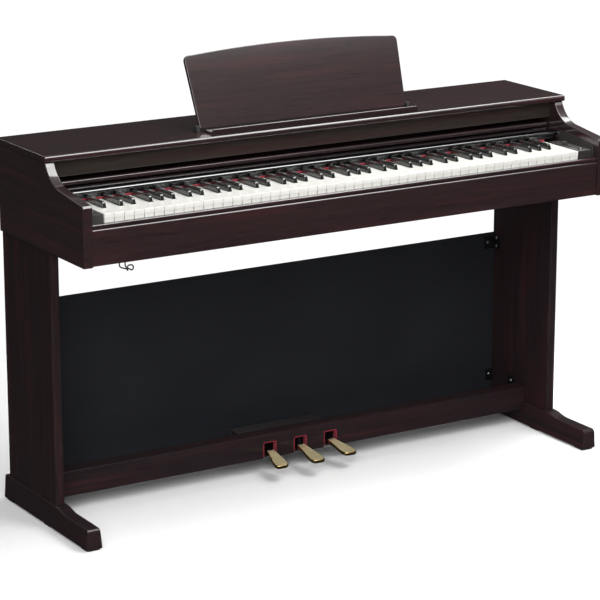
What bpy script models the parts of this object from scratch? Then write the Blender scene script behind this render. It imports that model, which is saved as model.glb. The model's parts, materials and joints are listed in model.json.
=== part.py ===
"""Digital piano on a two-legged stand: a slim cabinet with 88 keys, a sliding key cover, a folding music
rest and three pedals.

Metres. +X is the player's right, -Y faces the player and +Z is up. The origin is on the floor under the
middle of the whole piano. Every moving piece has its origin on the axis of its joint.
"""

import math

import bmesh
import bpy
from mathutils import Vector

GAP = 0.0003

# Cabinet
CHEEK_OUT = 0.676
CHEEK_IN = 0.653
CABINET_FRONT = -0.211
CABINET_BACK = 0.196
CABINET_BOTTOM = 0.6236
TOP_UNDER = 0.818
TOP_HEIGHT = 0.8317
TOP_HALF = 0.6785
TOP_FRONT = -0.045
TOP_BACK = 0.1976
INSIDE = CHEEK_IN - GAP
BOARD = 0.012

# Arms of the cheeks
ARM_FRONT_Z = 0.7515
ARM_TOP = (-0.206, 0.7568)
ARM_BEND = (-0.097, 0.7705)
ARM_RADIUS = 0.072
ARM_ANGLES = (math.radians(7), math.radians(66))

# Keyboard
WHITE_KEYS = 52
KEY_PITCH = 0.0236
KEY_GAP = 0.001
KEY_FRONT = -0.186
KEY_TOP = 0.729
KEY_UNDER = 0.7075
KEY_TAIL_BACK = 0.047
BLACK_FRONT = -0.136
BLACK_BACK = -0.0565
BLACK_TOP = 0.7405
BLACK_UNDER = 0.7185
BLACK_STICK_TOP = 0.7265
BLACK_WIDTH = 0.0110
BLACK_CROWN = 0.0092
BLACK_SLOPE = 0.004
BLACK_SLOT = 0.0122
BAR_FRONT = 0.05
BAR_BACK = 0.1
WHITE_BAR_TOP = 0.7165
KEY_HINGE_Y = 0.095
WHITE_HINGE_Z = 0.712
BLACK_HINGE_Z = 0.7225
# A sharp's shift from the gap between its two naturals, by the natural to its left
SHARP_SHIFT = {"C": -0.0028, "D": 0.0028, "F": -0.0038, "G": 0.0, "A": 0.0038}
LETTERS = "ABCDEFG"
# Each group's first and last natural, counted from the lowest A
KEY_GROUPS = (("bass", 0, 8), ("tenor", 9, 22), ("treble", 30, 43), ("top", 44, 51))
MIDDLE_OCTAVE = range(23, 30)

# Panel behind the keys and the sliding cover
PANEL_FRONT = -0.052
COVER_SLOPE = 0.125
COVER_FRONT = -0.014
COVER_UNDER = 0.7568
COVER_LIP = 0.0100
COVER_THICK = 0.005
COVER_BACK = 0.165
COVER_HALF = 0.6497
BLOCK_IN = 0.6168
BLOCK_FLANGE = 0.6515
BLOCK_TOP = 0.7292
BLOCK_FRONT = -0.1865
BLOCK_BACK = -0.063
BUTTONS = (
    ("demo_button", -0.158),
    ("voice_button", -0.142),
    ("metronome_button", -0.126),
    ("record_button", -0.110),
)
BUTTON_X = -0.632
BUTTON_SIZE = (0.014, 0.009)
BUTTON_DEEP = 0.0025
POWER_AT = (0.634, -0.166)
POWER_RADIUS = 0.0055
SLIDER_AT = (0.6285, -0.113)
SLIDER_SIZE = (0.011, 0.008)
SLIDER_TRAVEL = 0.018

# Music rest
REST_LEAN = math.radians(20)
REST_HINGE = (0.0245, 0.8402)
REST_HALF_LOW = 0.270
REST_HALF_HIGH = 0.279
REST_SIDE = 0.1595
REST_HEIGHT = 0.171
REST_FRONT = 0.005
REST_BACK = 0.004
LEDGE_HALF = 0.2685
SHELF_HALF = 0.264
PROP_X = 0.15
PROP_AT = 0.078
PROP_LENGTH = 0.085
PROP_LEAN = math.radians(23)
PROP_RADIUS = 0.0013

# Under the cabinet: the speakers lie flat over round holes in the bottom board
SPEAKER_X = 0.40
SPEAKER_Y = 0.06
SPEAKER_HOLE = 0.046
HOOK_X = -0.5555
HOOK_LEGS = 0.0068
HOOK_WIRE = 0.0015

# Stand
LEG_IN = 0.6497
LEG_OUT = 0.6715
LEG_FRONT = -0.0416
LEG_BACK = 0.1926
FOOT_TOP = 0.0572
FOOT_FRONT = -0.1995
FOOT_BACK = 0.211
FOOT_LOW = (0.6396, 0.6785)
FOOT_HIGH = (0.6455, 0.6748)
REAR_PANEL = (0.188, 0.191, 0.042, 0.457)

# Pedals
RAIL_FRONT = 0.048
RAIL_BACK = 0.088
RAIL_BOTTOM = 0.038
RAIL_TOP = 0.0955
PEDAL_MIDDLE = 0.0045
PEDAL_PITCH = 0.0825
NOTCH_WIDTH = 0.0355
NOTCH_TOP = 0.0775
AXLE_Y = 0.155
AXLE_Z = 0.056
AXLE_RADIUS = 0.003
PEDAL_THICK = 0.008
PEDAL_ROOT = 0.0100
PEDAL_WIDE = 0.0178
PEDAL_NOSE = 0.014
PEDAL_SPLAY = 0.0085
# Name, place counted from the middle, and y of the tip
PEDALS = (("soft_pedal", -1, -0.029), ("sostenuto_pedal", 0, -0.038), ("damper_pedal", 1, -0.029))

ADJUSTER_AT = (0.0455, 0.120)

# Colour, roughness and metallic share of each finish
MATERIALS = {
    "rosewood": ((0.042, 0.016, 0.016), 0.38, 0.0),
    "black_board": ((0.016, 0.017, 0.020), 0.45, 0.0),
    "gloss_black": ((0.006, 0.006, 0.007), 0.12, 0.0),
    "black_plastic": ((0.020, 0.021, 0.022), 0.45, 0.0),
    "key_white": ((0.86, 0.86, 0.83), 0.28, 0.0),
    "key_black": ((0.022, 0.024, 0.023), 0.40, 0.0),
    "red_felt": ((0.30, 0.010, 0.026), 0.95, 0.0),
    "pedal_brass": ((0.66, 0.50, 0.27), 0.25, 1.0),
    "steel": ((0.45, 0.45, 0.47), 0.35, 1.0),
    "black_steel": ((0.02, 0.02, 0.02), 0.35, 1.0),
    "speaker_black": ((0.03, 0.03, 0.03), 0.7, 0.0),
    "plywood": ((0.50, 0.35, 0.20), 0.6, 0.0),
}


def clear_scene():
    for obj in list(bpy.data.objects):
        bpy.data.objects.remove(obj, do_unlink=True)


def make_materials():
    for name, (colour, roughness, metallic) in MATERIALS.items():
        material = bpy.data.materials.new(name)
        material.use_nodes = True
        shader = material.node_tree.nodes["Principled BSDF"]
        shader.inputs["Base Color"].default_value = (*colour, 1.0)
        shader.inputs["Roughness"].default_value = roughness
        shader.inputs["Metallic"].default_value = metallic


def add_object(name, mesh_maker, material, origin=(0, 0, 0), helper=False):
    """Links a new object whose mesh is drawn in world places, then set back to the object's origin."""
    drawing = bmesh.new()
    mesh_maker(drawing)
    bmesh.ops.remove_doubles(drawing, verts=drawing.verts, dist=1e-6)
    bmesh.ops.recalc_face_normals(drawing, faces=drawing.faces)
    bmesh.ops.translate(drawing, verts=drawing.verts, vec=-Vector(origin))
    mesh = bpy.data.meshes.new(name)
    drawing.to_mesh(mesh)
    drawing.free()
    obj = bpy.data.objects.new(name, mesh)
    obj.location = origin
    bpy.context.scene.collection.objects.link(obj)
    if helper:
        obj.hide_render = True
        obj.display_type = "WIRE"
    else:
        # Each piece has a copy of the finish under its own name
        mesh.materials.append(bpy.data.materials[material].copy())
        mesh.materials[0].name = name
    return obj


def draw_box(low, high):
    def draw(drawing):
        cube = bmesh.ops.create_cube(drawing, size=1.0)["verts"]
        for vert in cube:
            for axis in range(3):
                middle = (low[axis] + high[axis]) / 2
                vert.co[axis] = middle + vert.co[axis] * (high[axis] - low[axis])

    return draw


def sorted_box(one, other):
    return [min(pair) for pair in zip(one, other)], [max(pair) for pair in zip(one, other)]


def draw_prism(outline, axis, start, end):
    """Extrudes an outline of (first, second) points along X, Y or Z."""

    def place(point, along):
        first, second = point
        return {"X": (along, first, second), "Y": (first, along, second), "Z": (first, second, along)}[axis]

    def draw(drawing):
        verts = [drawing.verts.new(place(point, start)) for point in outline]
        face = drawing.faces.new(verts)
        moved = bmesh.ops.extrude_face_region(drawing, geom=[face])["geom"]
        shift = Vector(place((0, 0), end)) - Vector(place((0, 0), start))
        tops = [item for item in moved if isinstance(item, bmesh.types.BMVert)]
        bmesh.ops.translate(drawing, verts=tops, vec=shift)

    return draw


def draw_turned(profile, centre, steps=24):
    """Turns a (radius, height) profile, whose ends lie on the axis, round a vertical axis."""

    def draw(drawing):
        rings = []
        for radius, height in profile:
            if radius == 0:
                rings.append([drawing.verts.new((centre[0], centre[1], height))])
                continue
            ring = []
            for step in range(steps):
                turn = math.tau * step / steps
                x = centre[0] + radius * math.cos(turn)
                y = centre[1] + radius * math.sin(turn)
                ring.append(drawing.verts.new((x, y, height)))
            rings.append(ring)
        for low, high in zip(rings, rings[1:]):
            for step in range(steps):
                corners = [low[step % len(low)], low[(step + 1) % len(low)]]
                corners += [high[(step + 1) % len(high)], high[step % len(high)]]
                drawing.faces.new(list(dict.fromkeys(corners)))

    return draw


def draw_all(*makers):
    def draw(drawing):
        for maker in makers:
            maker(drawing)

    return draw


def draw_rod(start, end, radius, steps=16):
    """A straight round rod between two points."""

    def draw(drawing):
        line = Vector(end) - Vector(start)
        turned = line.to_track_quat("Z", "Y").to_matrix().to_4x4()
        turned.translation = (Vector(start) + Vector(end)) / 2
        size = {"radius1": radius, "radius2": radius, "depth": line.length}
        bmesh.ops.create_cone(drawing, cap_ends=True, segments=steps, matrix=turned, **size)

    return draw


def arc(centre, radius, start, end, steps):
    turns = [start + (end - start) * step / steps for step in range(steps + 1)]
    return [(centre[0] + radius * math.cos(turn), centre[1] + radius * math.sin(turn)) for turn in turns]


def boolean(obj, operation, draw, name):
    """Joins or cuts obj by a hidden helper drawn in world places."""
    helper = add_object(name, draw, None, helper=True)
    modifier = obj.modifiers.new(name, "BOOLEAN")
    modifier.operation = operation
    modifier.solver = "EXACT"
    modifier.object = helper


def smooth(obj, degrees=35):
    obj.data.shade_smooth()
    obj.data.set_sharp_from_angle(angle=math.radians(degrees))


# Cabinet


def cheek_outline():
    """Side view of a cheek, (y, z), with the arm's slope and the hollow curve up to the top board."""
    first, last = ARM_ANGLES
    centre = (ARM_BEND[0] - ARM_RADIUS * math.sin(first), ARM_BEND[1] + ARM_RADIUS * math.cos(first))
    curve = arc(centre, ARM_RADIUS, first - math.pi / 2, last - math.pi / 2, 8)
    front = [(CABINET_FRONT, CABINET_BOTTOM), (CABINET_FRONT, ARM_FRONT_Z)]
    nose = [(CABINET_FRONT + 0.0015, ARM_FRONT_Z + 0.0037), ARM_TOP]
    under_top = TOP_UNDER - GAP
    top = [(-0.0375, under_top), (CABINET_BACK, under_top), (CABINET_BACK, CABINET_BOTTOM)]
    return front + nose + curve + top


def make_cabinet():
    for side, name in ((-1, "left_side_panel"), (1, "right_side_panel")):
        ends = sorted((side * CHEEK_IN, side * CHEEK_OUT))
        smooth(add_object(name, draw_prism(cheek_outline(), "X", *ends), "rosewood"))

    nose = arc((TOP_FRONT + 0.006, TOP_HEIGHT - 0.006), 0.006, math.pi, math.pi / 2, 4)
    chin = arc((TOP_FRONT + 0.003, TOP_UNDER + 0.003), 0.003, 1.5 * math.pi, math.pi, 2)
    outline = chin + nose + [(TOP_BACK, TOP_HEIGHT), (TOP_BACK, TOP_UNDER)]
    smooth(add_object("top_board", draw_prism(outline, "X", -TOP_HALF, TOP_HALF), "rosewood"))

    add_object(
        "name_board",
        draw_box((-INSIDE, -0.022, 0.779), (INSIDE, -0.008, TOP_UNDER - GAP)),
        "rosewood",
    )
    add_object(
        "back_board",
        draw_box((-INSIDE, CABINET_BACK - BOARD, CABINET_BOTTOM), (INSIDE, CABINET_BACK, TOP_UNDER - GAP)),
        "black_board",
    )
    low = (-INSIDE, -0.1897, CABINET_BOTTOM)
    high = (INSIDE, CABINET_BACK - BOARD - GAP, CABINET_BOTTOM + BOARD)
    bottom = add_object("bottom_board", draw_box(low, high), "black_board")
    places = [(side * SPEAKER_X, SPEAKER_Y) for side in (-1, 1)]
    holes = [draw_rod((*place, 0.6), (*place, 0.66), SPEAKER_HOLE, 24) for place in places]
    boolean(bottom, "DIFFERENCE", draw_all(*holes), "speaker_holes")

    slip = [(-0.190, 0.6248), (-0.205, 0.6248), (-0.205, 0.6985)]
    slip += arc((-0.2015, 0.6985), 0.0035, math.pi, math.pi / 2, 3)
    slip += [(-0.1985, 0.7020), (-0.1985, 0.7085)]
    slip += arc((-0.1955, 0.7085), 0.003, math.pi, math.pi / 2, 3)
    slip += [(-0.190, 0.7115)]
    smooth(add_object("key_slip", draw_prism(slip, "X", -INSIDE, INSIDE), "rosewood"))


def make_speakers():
    low = CABINET_BOTTOM + BOARD + GAP
    profile = [(0, low + 0.012), (0.018, low + 0.010), (0.040, low + 0.001), (0.044, low), (0.054, low)]
    profile += [(0.054, low + 0.003), (0.046, low + 0.004), (0.030, low + 0.018), (0.028, low + 0.031)]
    profile += [(0, low + 0.031)]
    for side, name in ((-1, "left_speaker"), (1, "right_speaker")):
        smooth(add_object(name, draw_turned(profile, (side * SPEAKER_X, SPEAKER_Y)), "speaker_black"))


def make_panel_and_cover():
    panel = [(PANEL_FRONT, 0.7335), (PANEL_FRONT, 0.7405), (PANEL_FRONT - 0.003, 0.7412)]
    panel += arc((PANEL_FRONT, 0.7470), 0.003, math.pi, 0.62 * math.pi, 3)
    panel += [(-0.0155, 0.7545), (-0.0155, 0.7520), (-0.0485, 0.7465), (-0.0485, 0.7335)]
    smooth(add_object("control_panel", draw_prism(panel, "X", -INSIDE, INSIDE), "gloss_black"))

    add_object(
        "key_felt",
        draw_box((-0.6130, -0.0555, KEY_TOP + 0.0005), (0.6130, -0.0460, 0.7335 - GAP)),
        "red_felt",
    )

    def under(y):
        return COVER_UNDER + (y - COVER_FRONT) * COVER_SLOPE

    back_under = under(COVER_BACK)
    cover = [(COVER_FRONT, COVER_UNDER), (COVER_FRONT, COVER_UNDER + COVER_LIP - 0.002)]
    cover += [(COVER_FRONT + 0.002, COVER_UNDER + COVER_LIP)]
    cover += [(COVER_FRONT + 0.007, COVER_UNDER + COVER_LIP), (-0.006, under(-0.006) + COVER_THICK)]
    cover += [(COVER_BACK, back_under + COVER_THICK), (COVER_BACK, back_under)]
    origin = (0, COVER_FRONT, COVER_UNDER)
    add_object("key_cover", draw_prism(cover, "X", -COVER_HALF, COVER_HALF), "rosewood", origin)


def flange_outline():
    """Side view, (y, z), of the plate against the arm that guides the cover's edge."""
    bend = arc((-0.180, 0.7295), 0.012, math.pi, 0.55 * math.pi, 5)
    return [(-0.192, 0.712), *bend, (-0.111, 0.7514), (-0.062, 0.7545), (-0.062, 0.712)]


def make_end_blocks():
    for side, name in ((-1, "left_end_block"), (1, "right_end_block")):
        corners = (side * BLOCK_IN, BLOCK_FRONT, 0.640), (side * BLOCK_FLANGE, BLOCK_BACK, BLOCK_TOP)
        obj = add_object(name, draw_box(*sorted_box(*corners)), "black_plastic")
        ends = sorted((side * (BLOCK_FLANGE - 0.0015), side * INSIDE))
        boolean(obj, "UNION", draw_prism(flange_outline(), "X", *ends), name + "_flange")
        if side < 0:
            width, depth = BUTTON_SIZE
            pockets = [
                draw_box(
                    (BUTTON_X - width / 2 - GAP, y - depth / 2 - GAP, BLOCK_TOP - BUTTON_DEEP - 0.002),
                    (BUTTON_X + width / 2 + GAP, y + depth / 2 + GAP, BLOCK_TOP + 0.01),
                )
                for _, y in BUTTONS
            ]
            boolean(obj, "DIFFERENCE", draw_all(*pockets), "button_pockets")
        else:
            x, y = SLIDER_AT
            reach = SLIDER_TRAVEL + SLIDER_SIZE[1] / 2 - 0.001
            low = (x - 0.0016, y - reach, BLOCK_TOP - 0.006)
            slot = draw_box(low, (x + 0.0016, y + reach, BLOCK_TOP + 0.01))
            ends = ((*POWER_AT, BLOCK_TOP - BUTTON_DEEP - 0.002), (*POWER_AT, BLOCK_TOP + 0.01))
            well = draw_rod(*ends, POWER_RADIUS + GAP, 20)
            boolean(obj, "DIFFERENCE", draw_all(slot, well), "slider_slot")


def make_controls():
    width, depth = BUTTON_SIZE
    for name, y in BUTTONS:
        origin = (BUTTON_X, y, BLOCK_TOP)
        low = (BUTTON_X - width / 2, y - depth / 2, BLOCK_TOP - BUTTON_DEEP)
        high = (BUTTON_X + width / 2, y + depth / 2, BLOCK_TOP + 0.0018)
        obj = add_object(name, draw_box(low, high), "black_plastic", origin)
        bevel = obj.modifiers.new("edges", "BEVEL")
        bevel.width = 0.0006
        bevel.segments = 1
    profile = [(0, BLOCK_TOP - BUTTON_DEEP), (POWER_RADIUS, BLOCK_TOP - BUTTON_DEEP)]
    profile += [(POWER_RADIUS, BLOCK_TOP + 0.0010), (POWER_RADIUS - 0.0008, BLOCK_TOP + 0.0016)]
    profile += [(0, BLOCK_TOP + 0.0016)]
    origin = (*POWER_AT, BLOCK_TOP)
    smooth(add_object("power_button", draw_turned(profile, POWER_AT, 20), "black_plastic", origin))

    x, y = SLIDER_AT
    width, depth = SLIDER_SIZE
    low = BLOCK_TOP + GAP
    knob = [(y - depth / 2, low), (y - depth / 2 + 0.0015, low + 0.0085)]
    knob += [(y + depth / 2 - 0.0015, low + 0.0085), (y + depth / 2, low)]
    origin = (x, y, BLOCK_TOP)
    slider = add_object(
        "volume_slider", draw_prism(knob, "X", x - width / 2, x + width / 2), "black_plastic", origin
    )
    stem = draw_box((x - 0.0012, y - 0.003, BLOCK_TOP - 0.005), (x + 0.0012, y + 0.003, BLOCK_TOP + 0.002))
    boolean(slider, "UNION", stem, "slider_stem")


# Keyboard


def letter(index):
    """The natural at a place counted from the lowest A."""
    return LETTERS[index % 7]


def natural_left(index):
    return (index - WHITE_KEYS / 2) * KEY_PITCH


def sharp_centre(index):
    """Middle of the sharp to the right of a natural, or None."""
    shift = SHARP_SHIFT.get(letter(index))
    if shift is None or not 0 <= index < WHITE_KEYS - 1:
        return None
    return natural_left(index + 1) + shift


def natural_outline(index):
    """Plan view of one natural: full width in front, narrowed beside its sharps."""
    left = natural_left(index) + KEY_GAP / 2
    right = natural_left(index + 1) - KEY_GAP / 2
    before, after = sharp_centre(index - 1), sharp_centre(index)
    tail_left = left if before is None else before + BLACK_SLOT / 2
    tail_right = right if after is None else after - BLACK_SLOT / 2
    notch = BLACK_FRONT - 0.001
    outline = [(left, KEY_FRONT), (right, KEY_FRONT), (right, notch), (tail_right, notch)]
    outline += [(tail_right, KEY_TAIL_BACK), (tail_left, KEY_TAIL_BACK), (tail_left, notch), (left, notch)]
    return [point for point, following in zip(outline, outline[1:] + outline[:1]) if point != following]


def draw_sharp(centre):
    """One sharp: a stick with a raised crown that narrows upwards and slopes at its front."""

    def draw(drawing):
        half, crown = BLACK_WIDTH / 2, BLACK_CROWN / 2
        low = [(-half, BLACK_FRONT), (half, BLACK_FRONT), (half, BLACK_BACK), (-half, BLACK_BACK)]
        high = [(-crown, BLACK_FRONT + BLACK_SLOPE), (crown, BLACK_FRONT + BLACK_SLOPE)]
        high += [(crown, BLACK_BACK), (-crown, BLACK_BACK)]
        bottom = [drawing.verts.new((centre + x, y, BLACK_UNDER)) for x, y in low]
        top = [drawing.verts.new((centre + x, y, BLACK_TOP)) for x, y in high]
        drawing.faces.new(bottom[::-1])
        drawing.faces.new(top)
        for corner in range(4):
            after = (corner + 1) % 4
            drawing.faces.new((bottom[corner], bottom[after], top[after], top[corner]))

    return draw


def draw_stick(centre):
    half = BLACK_WIDTH / 2 - 0.0005
    return draw_box(
        (centre - half, BLACK_BACK - 0.010, BLACK_UNDER + 0.0005),
        (centre + half, BAR_FRONT + 0.010, BLACK_STICK_TOP),
    )


def make_naturals(name, first, last):
    """One hinged piece of naturals, from first to last, that share a bar at the back."""
    left = natural_left(first) + KEY_GAP / 2
    right = natural_left(last + 1) - KEY_GAP / 2
    origin = ((left + right) / 2, KEY_HINGE_Y, WHITE_HINGE_Z)
    low, high = (left, KEY_TAIL_BACK - 0.008, KEY_UNDER + 0.0005), (right, BAR_BACK, WHITE_BAR_TOP)
    if first == last:
        outline = natural_outline(first)
        low = (min(x for x, y in outline if y > 0) + 0.001, *low[1:])
        high = (max(x for x, y in outline if y > 0) - 0.001, *high[1:])
    obj = add_object(name, draw_box(low, high), "key_white", origin)
    keys = [draw_prism(natural_outline(index), "Z", KEY_UNDER, KEY_TOP) for index in range(first, last + 1)]
    boolean(obj, "UNION", draw_all(*keys), name + "_keys")


def make_sharps(name, indices):
    """One hinged piece of sharps that share a bar at the back."""
    centres = [sharp_centre(index) for index in indices]
    half = BLACK_WIDTH / 2 - 0.0015
    origin = (sum(centres) / len(centres), KEY_HINGE_Y, BLACK_HINGE_Z)
    low = (centres[0] - half, BAR_FRONT, BLACK_UNDER + 0.001)
    high = (centres[-1] + half, BAR_BACK, BLACK_STICK_TOP - 0.0005)
    obj = add_object(name, draw_box(low, high), "key_black", origin)
    boolean(obj, "UNION", draw_all(*map(draw_stick, centres)), name + "_sticks")
    boolean(obj, "UNION", draw_all(*map(draw_sharp, centres)), name + "_crowns")


def make_keyboard():
    for group, first, last in KEY_GROUPS:
        make_naturals(f"{group}_white_keys", first, last)
        places = [index for index in range(first, last + 1) if sharp_centre(index) is not None]
        make_sharps(f"{group}_black_keys", places)
    for index in MIDDLE_OCTAVE:
        make_naturals(f"key_{letter(index).lower()}4", index, index)
        if sharp_centre(index) is not None:
            make_sharps(f"key_{letter(index).lower()}_sharp4", [index])

    # The bed under the keys: a thin deck between two solid rails that stand on the bottom board
    foot, deck_low, deck_high = CABINET_BOTTOM + BOARD + GAP, 0.668, 0.676
    bed = [(-0.178, foot), (-0.178, 0.690), (-0.146, 0.690), (-0.146, deck_high), (0.086, deck_high)]
    bed += [(0.086, 0.704), (0.154, 0.704), (0.154, foot), (0.120, foot), (0.120, deck_low)]
    bed += [(-0.146, deck_low), (-0.146, foot)]
    add_object("key_frame", draw_prism(bed, "X", -0.6130, 0.6130), "plywood")


# Music rest


def rest_point(along, out):
    """(y, z) of a place on the leaning panel, along it from the hinge and out from it towards the player."""
    rise = (math.sin(REST_LEAN), math.cos(REST_LEAN))
    front = (-math.cos(REST_LEAN), math.sin(REST_LEAN))
    return tuple(REST_HINGE[i] + along * rise[i] + out * front[i] for i in range(2))


def make_music_rest():
    low, corner = -0.004, 0.012
    outline = [(-REST_HALF_LOW, low), (REST_HALF_LOW, low), (REST_HALF_HIGH, REST_SIDE - corner)]
    outline += arc((REST_HALF_HIGH - corner, REST_SIDE - corner), corner, 0.1, math.pi / 2 - 0.05, 3)
    steps = 10
    reach = REST_HALF_HIGH - corner
    for step in range(1, steps):
        x = reach * (1 - 2 * step / steps)
        outline.append((x, REST_SIDE + (REST_HEIGHT - REST_SIDE) * (1 - (x / reach) ** 2)))
    middle = (-REST_HALF_HIGH + corner, REST_SIDE - corner)
    outline += arc(middle, corner, math.pi / 2 + 0.05, math.pi - 0.1, 3)
    outline.append((-REST_HALF_HIGH, REST_SIDE - corner))

    def draw(drawing):
        front = [drawing.verts.new((x, *rest_point(along, REST_FRONT))) for x, along in outline]
        back = [drawing.verts.new((x, *rest_point(along, -REST_BACK))) for x, along in outline]
        drawing.faces.new(front)
        drawing.faces.new(back[::-1])
        for index in range(len(outline)):
            after = (index + 1) % len(outline)
            drawing.faces.new((front[index], back[index], back[after], front[after]))

    add_object("music_rest", draw, "rosewood", (0, *REST_HINGE))

    low, shelf_top, front = TOP_HEIGHT + GAP, TOP_HEIGHT + 0.005, -0.033
    shelf = draw_box((-SHELF_HALF, front + 0.002, low), (SHELF_HALF, 0.012, shelf_top))
    ledge = add_object("music_ledge", shelf, "rosewood")
    lip = [(front, low), (front, 0.8435), (-0.0318, 0.8447), (-0.0284, 0.8447), (-0.0284, low)]
    boolean(ledge, "UNION", draw_prism(lip, "X", -LEDGE_HALF, LEDGE_HALF), "ledge_lip")

    pivot = rest_point(PROP_AT, -REST_BACK - PROP_RADIUS - GAP)
    tip = (pivot[0] + PROP_LENGTH * math.sin(PROP_LEAN), pivot[1] - PROP_LENGTH * math.cos(PROP_LEAN))
    for side, name in ((-1, "left_rest_prop"), (1, "right_rest_prop")):
        inner, outer = side * (PROP_X - 0.018), side * (PROP_X + 0.018)
        bends = [(side * (PROP_X - 0.008), *tip), (side * (PROP_X + 0.008), *tip)]
        route = [(inner, *pivot), *bends, (outer, *pivot)]
        make_wire(name, route, PROP_RADIUS, "black_steel", (side * PROP_X, *pivot), 2)


def make_wire(name, points, radius, material, origin, resolution):
    """A round wire through points, with closed ends, as a curve object."""
    curve = bpy.data.curves.new(name, "CURVE")
    curve.dimensions = "3D"
    curve.bevel_depth = radius
    curve.bevel_resolution = resolution
    curve.use_fill_caps = True
    spline = curve.splines.new("POLY")
    spline.points.add(len(points) - 1)
    for point, place in zip(spline.points, points):
        point.co = (*(Vector(place) - Vector(origin)), 1)
    curve.materials.append(bpy.data.materials[material].copy())
    curve.materials[0].name = name
    obj = bpy.data.objects.new(name, curve)
    obj.location = origin
    bpy.context.scene.collection.objects.link(obj)


# Under the cabinet


def hook_route():
    """Down one leg, forward along the arm, round the upturned ring and back to the other leg."""
    root_y, knee_z, top_z = -0.150, 0.601, CABINET_BOTTOM - GAP
    ring = (-0.186, 0.6065)
    half = [(HOOK_X - HOOK_LEGS, root_y, top_z), (HOOK_X - HOOK_LEGS, root_y, knee_z + 0.004)]
    half += [(HOOK_X - HOOK_LEGS + 0.0007, root_y - 0.004, knee_z)]
    half += [(HOOK_X - 0.0028, -0.176, knee_z + 0.001)]
    turns = [math.radians(angle) for angle in (235, 205, 175, 145, 115)]
    for turn in turns:
        x = HOOK_X + 0.0075 * math.cos(turn)
        z = ring[1] + 0.0068 * math.sin(turn)
        half.append((x, ring[0], z))
    other = [(2 * HOOK_X - x, y, z) for x, y, z in reversed(half)]
    return half + other


def make_under_cabinet():
    top = (HOOK_X, -0.150, CABINET_BOTTOM - GAP)
    make_wire("headphone_hook", hook_route(), HOOK_WIRE, "black_steel", top, 2)

    low, high = (-0.570, -0.060, 0.5965), (-0.500, 0.010, CABINET_BOTTOM - GAP)
    jacks = add_object("jack_box", draw_box(low, high), "black_plastic")
    sockets = [draw_rod((x, -0.070, 0.610), (x, -0.044, 0.610), 0.0034, 12) for x in (-0.550, -0.520)]
    boolean(jacks, "DIFFERENCE", draw_all(*sockets), "jack_sockets")


# Stand


def foot_outline():
    """Side view of a foot, (y, z): three pads below, and a hollow in front of the leg."""
    pad = 0.0035
    below = [(FOOT_FRONT, 0), (-0.160, 0), (-0.160, pad), (-0.020, pad), (-0.020, 0), (0.020, 0)]
    below += [(0.020, pad), (0.165, pad), (0.165, 0), (FOOT_BACK, 0), (FOOT_BACK, FOOT_TOP)]
    hollow = []
    steps, start, end, drop = 6, LEG_FRONT - 0.003, -0.092, 0.0075
    for step in range(steps + 1):
        share = step / steps
        y = start + (end - start) * share
        hollow.append((y, FOOT_TOP - drop * (1 - math.cos(math.pi * share)) / 2))
    nose = [(-0.192, FOOT_TOP - drop - 0.001), (-0.1975, FOOT_TOP - drop - 0.0035), (FOOT_FRONT, 0.043)]
    return below + hollow + nose


def foot_inside(height):
    """Clear half width between the feet at a height."""
    return FOOT_LOW[0] + (FOOT_HIGH[0] - FOOT_LOW[0]) * height / FOOT_TOP - GAP


def make_stand():
    for side, word in ((-1, "left"), (1, "right")):
        radius = 0.004
        front = arc((LEG_OUT - radius, LEG_FRONT + radius), radius, 0, -math.pi / 2, 3)
        front += arc((LEG_IN + radius, LEG_FRONT + radius), radius, -math.pi / 2, -math.pi, 3)
        outline = [(side * x, y) for x, y in [*front, (LEG_IN, LEG_BACK), (LEG_OUT, LEG_BACK)]]
        draw = draw_prism(outline, "Z", FOOT_TOP + GAP, CABINET_BOTTOM - GAP)
        smooth(add_object(f"{word}_leg", draw, "rosewood"))

        foot = add_object(f"{word}_foot", draw_prism(foot_outline(), "X", 0, 1), "rosewood")
        for vert in foot.data.vertices:
            share = vert.co.z / FOOT_TOP
            end = round(vert.co.x)
            vert.co.x = side * (FOOT_LOW[end] + (FOOT_HIGH[end] - FOOT_LOW[end]) * share)
        if side < 0:
            foot.data.flip_normals()
        smooth(foot, 25)

    front, back, low, high = REAR_PANEL
    wide, narrow = LEG_IN - GAP, foot_inside(low)
    half = [(narrow, low), (narrow, FOOT_TOP + GAP), (wide, FOOT_TOP + GAP), (wide, high)]
    outline = half + [(-x, z) for x, z in reversed(half)]
    add_object("rear_panel", draw_prism(outline, "Y", front, back), "black_board")


# Pedals


def pedal_centre(place):
    return PEDAL_MIDDLE + place * PEDAL_PITCH


def pedal_top(y, tip_y):
    """Height of a pedal's top: level inside the rail, then falling in a straight slope to its tip."""
    root_z, tip_z, bend = 0.0605, 0.0430, 0.062
    if y > bend:
        return root_z
    return root_z + (tip_z - root_z) * (bend - y) / (bend - tip_y)


def pedal_sections(tip_y):
    """(y, half width, sideways share) from the axle to the round tip."""
    root, wide = PEDAL_ROOT, PEDAL_WIDE
    sections = [(AXLE_Y - 0.004, root, 0.0), (0.090, root, 0.0), (0.062, root, 0.0), (RAIL_FRONT, root, 0.0)]
    straight = tip_y + PEDAL_NOSE
    steps = 4
    for step in range(1, steps + 1):
        share = step / steps
        ease = share * share * (3 - 2 * share)
        sections.append((RAIL_FRONT + (straight - RAIL_FRONT) * share, root + (wide - root) * ease, share))
    for turn in (25, 45, 62, 76, 86):
        angle = math.radians(turn)
        y = straight - PEDAL_NOSE * math.sin(angle)
        sections.append((y, wide * math.cos(angle) ** 0.45, (RAIL_FRONT - y) / (RAIL_FRONT - straight)))
    return sections


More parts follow.
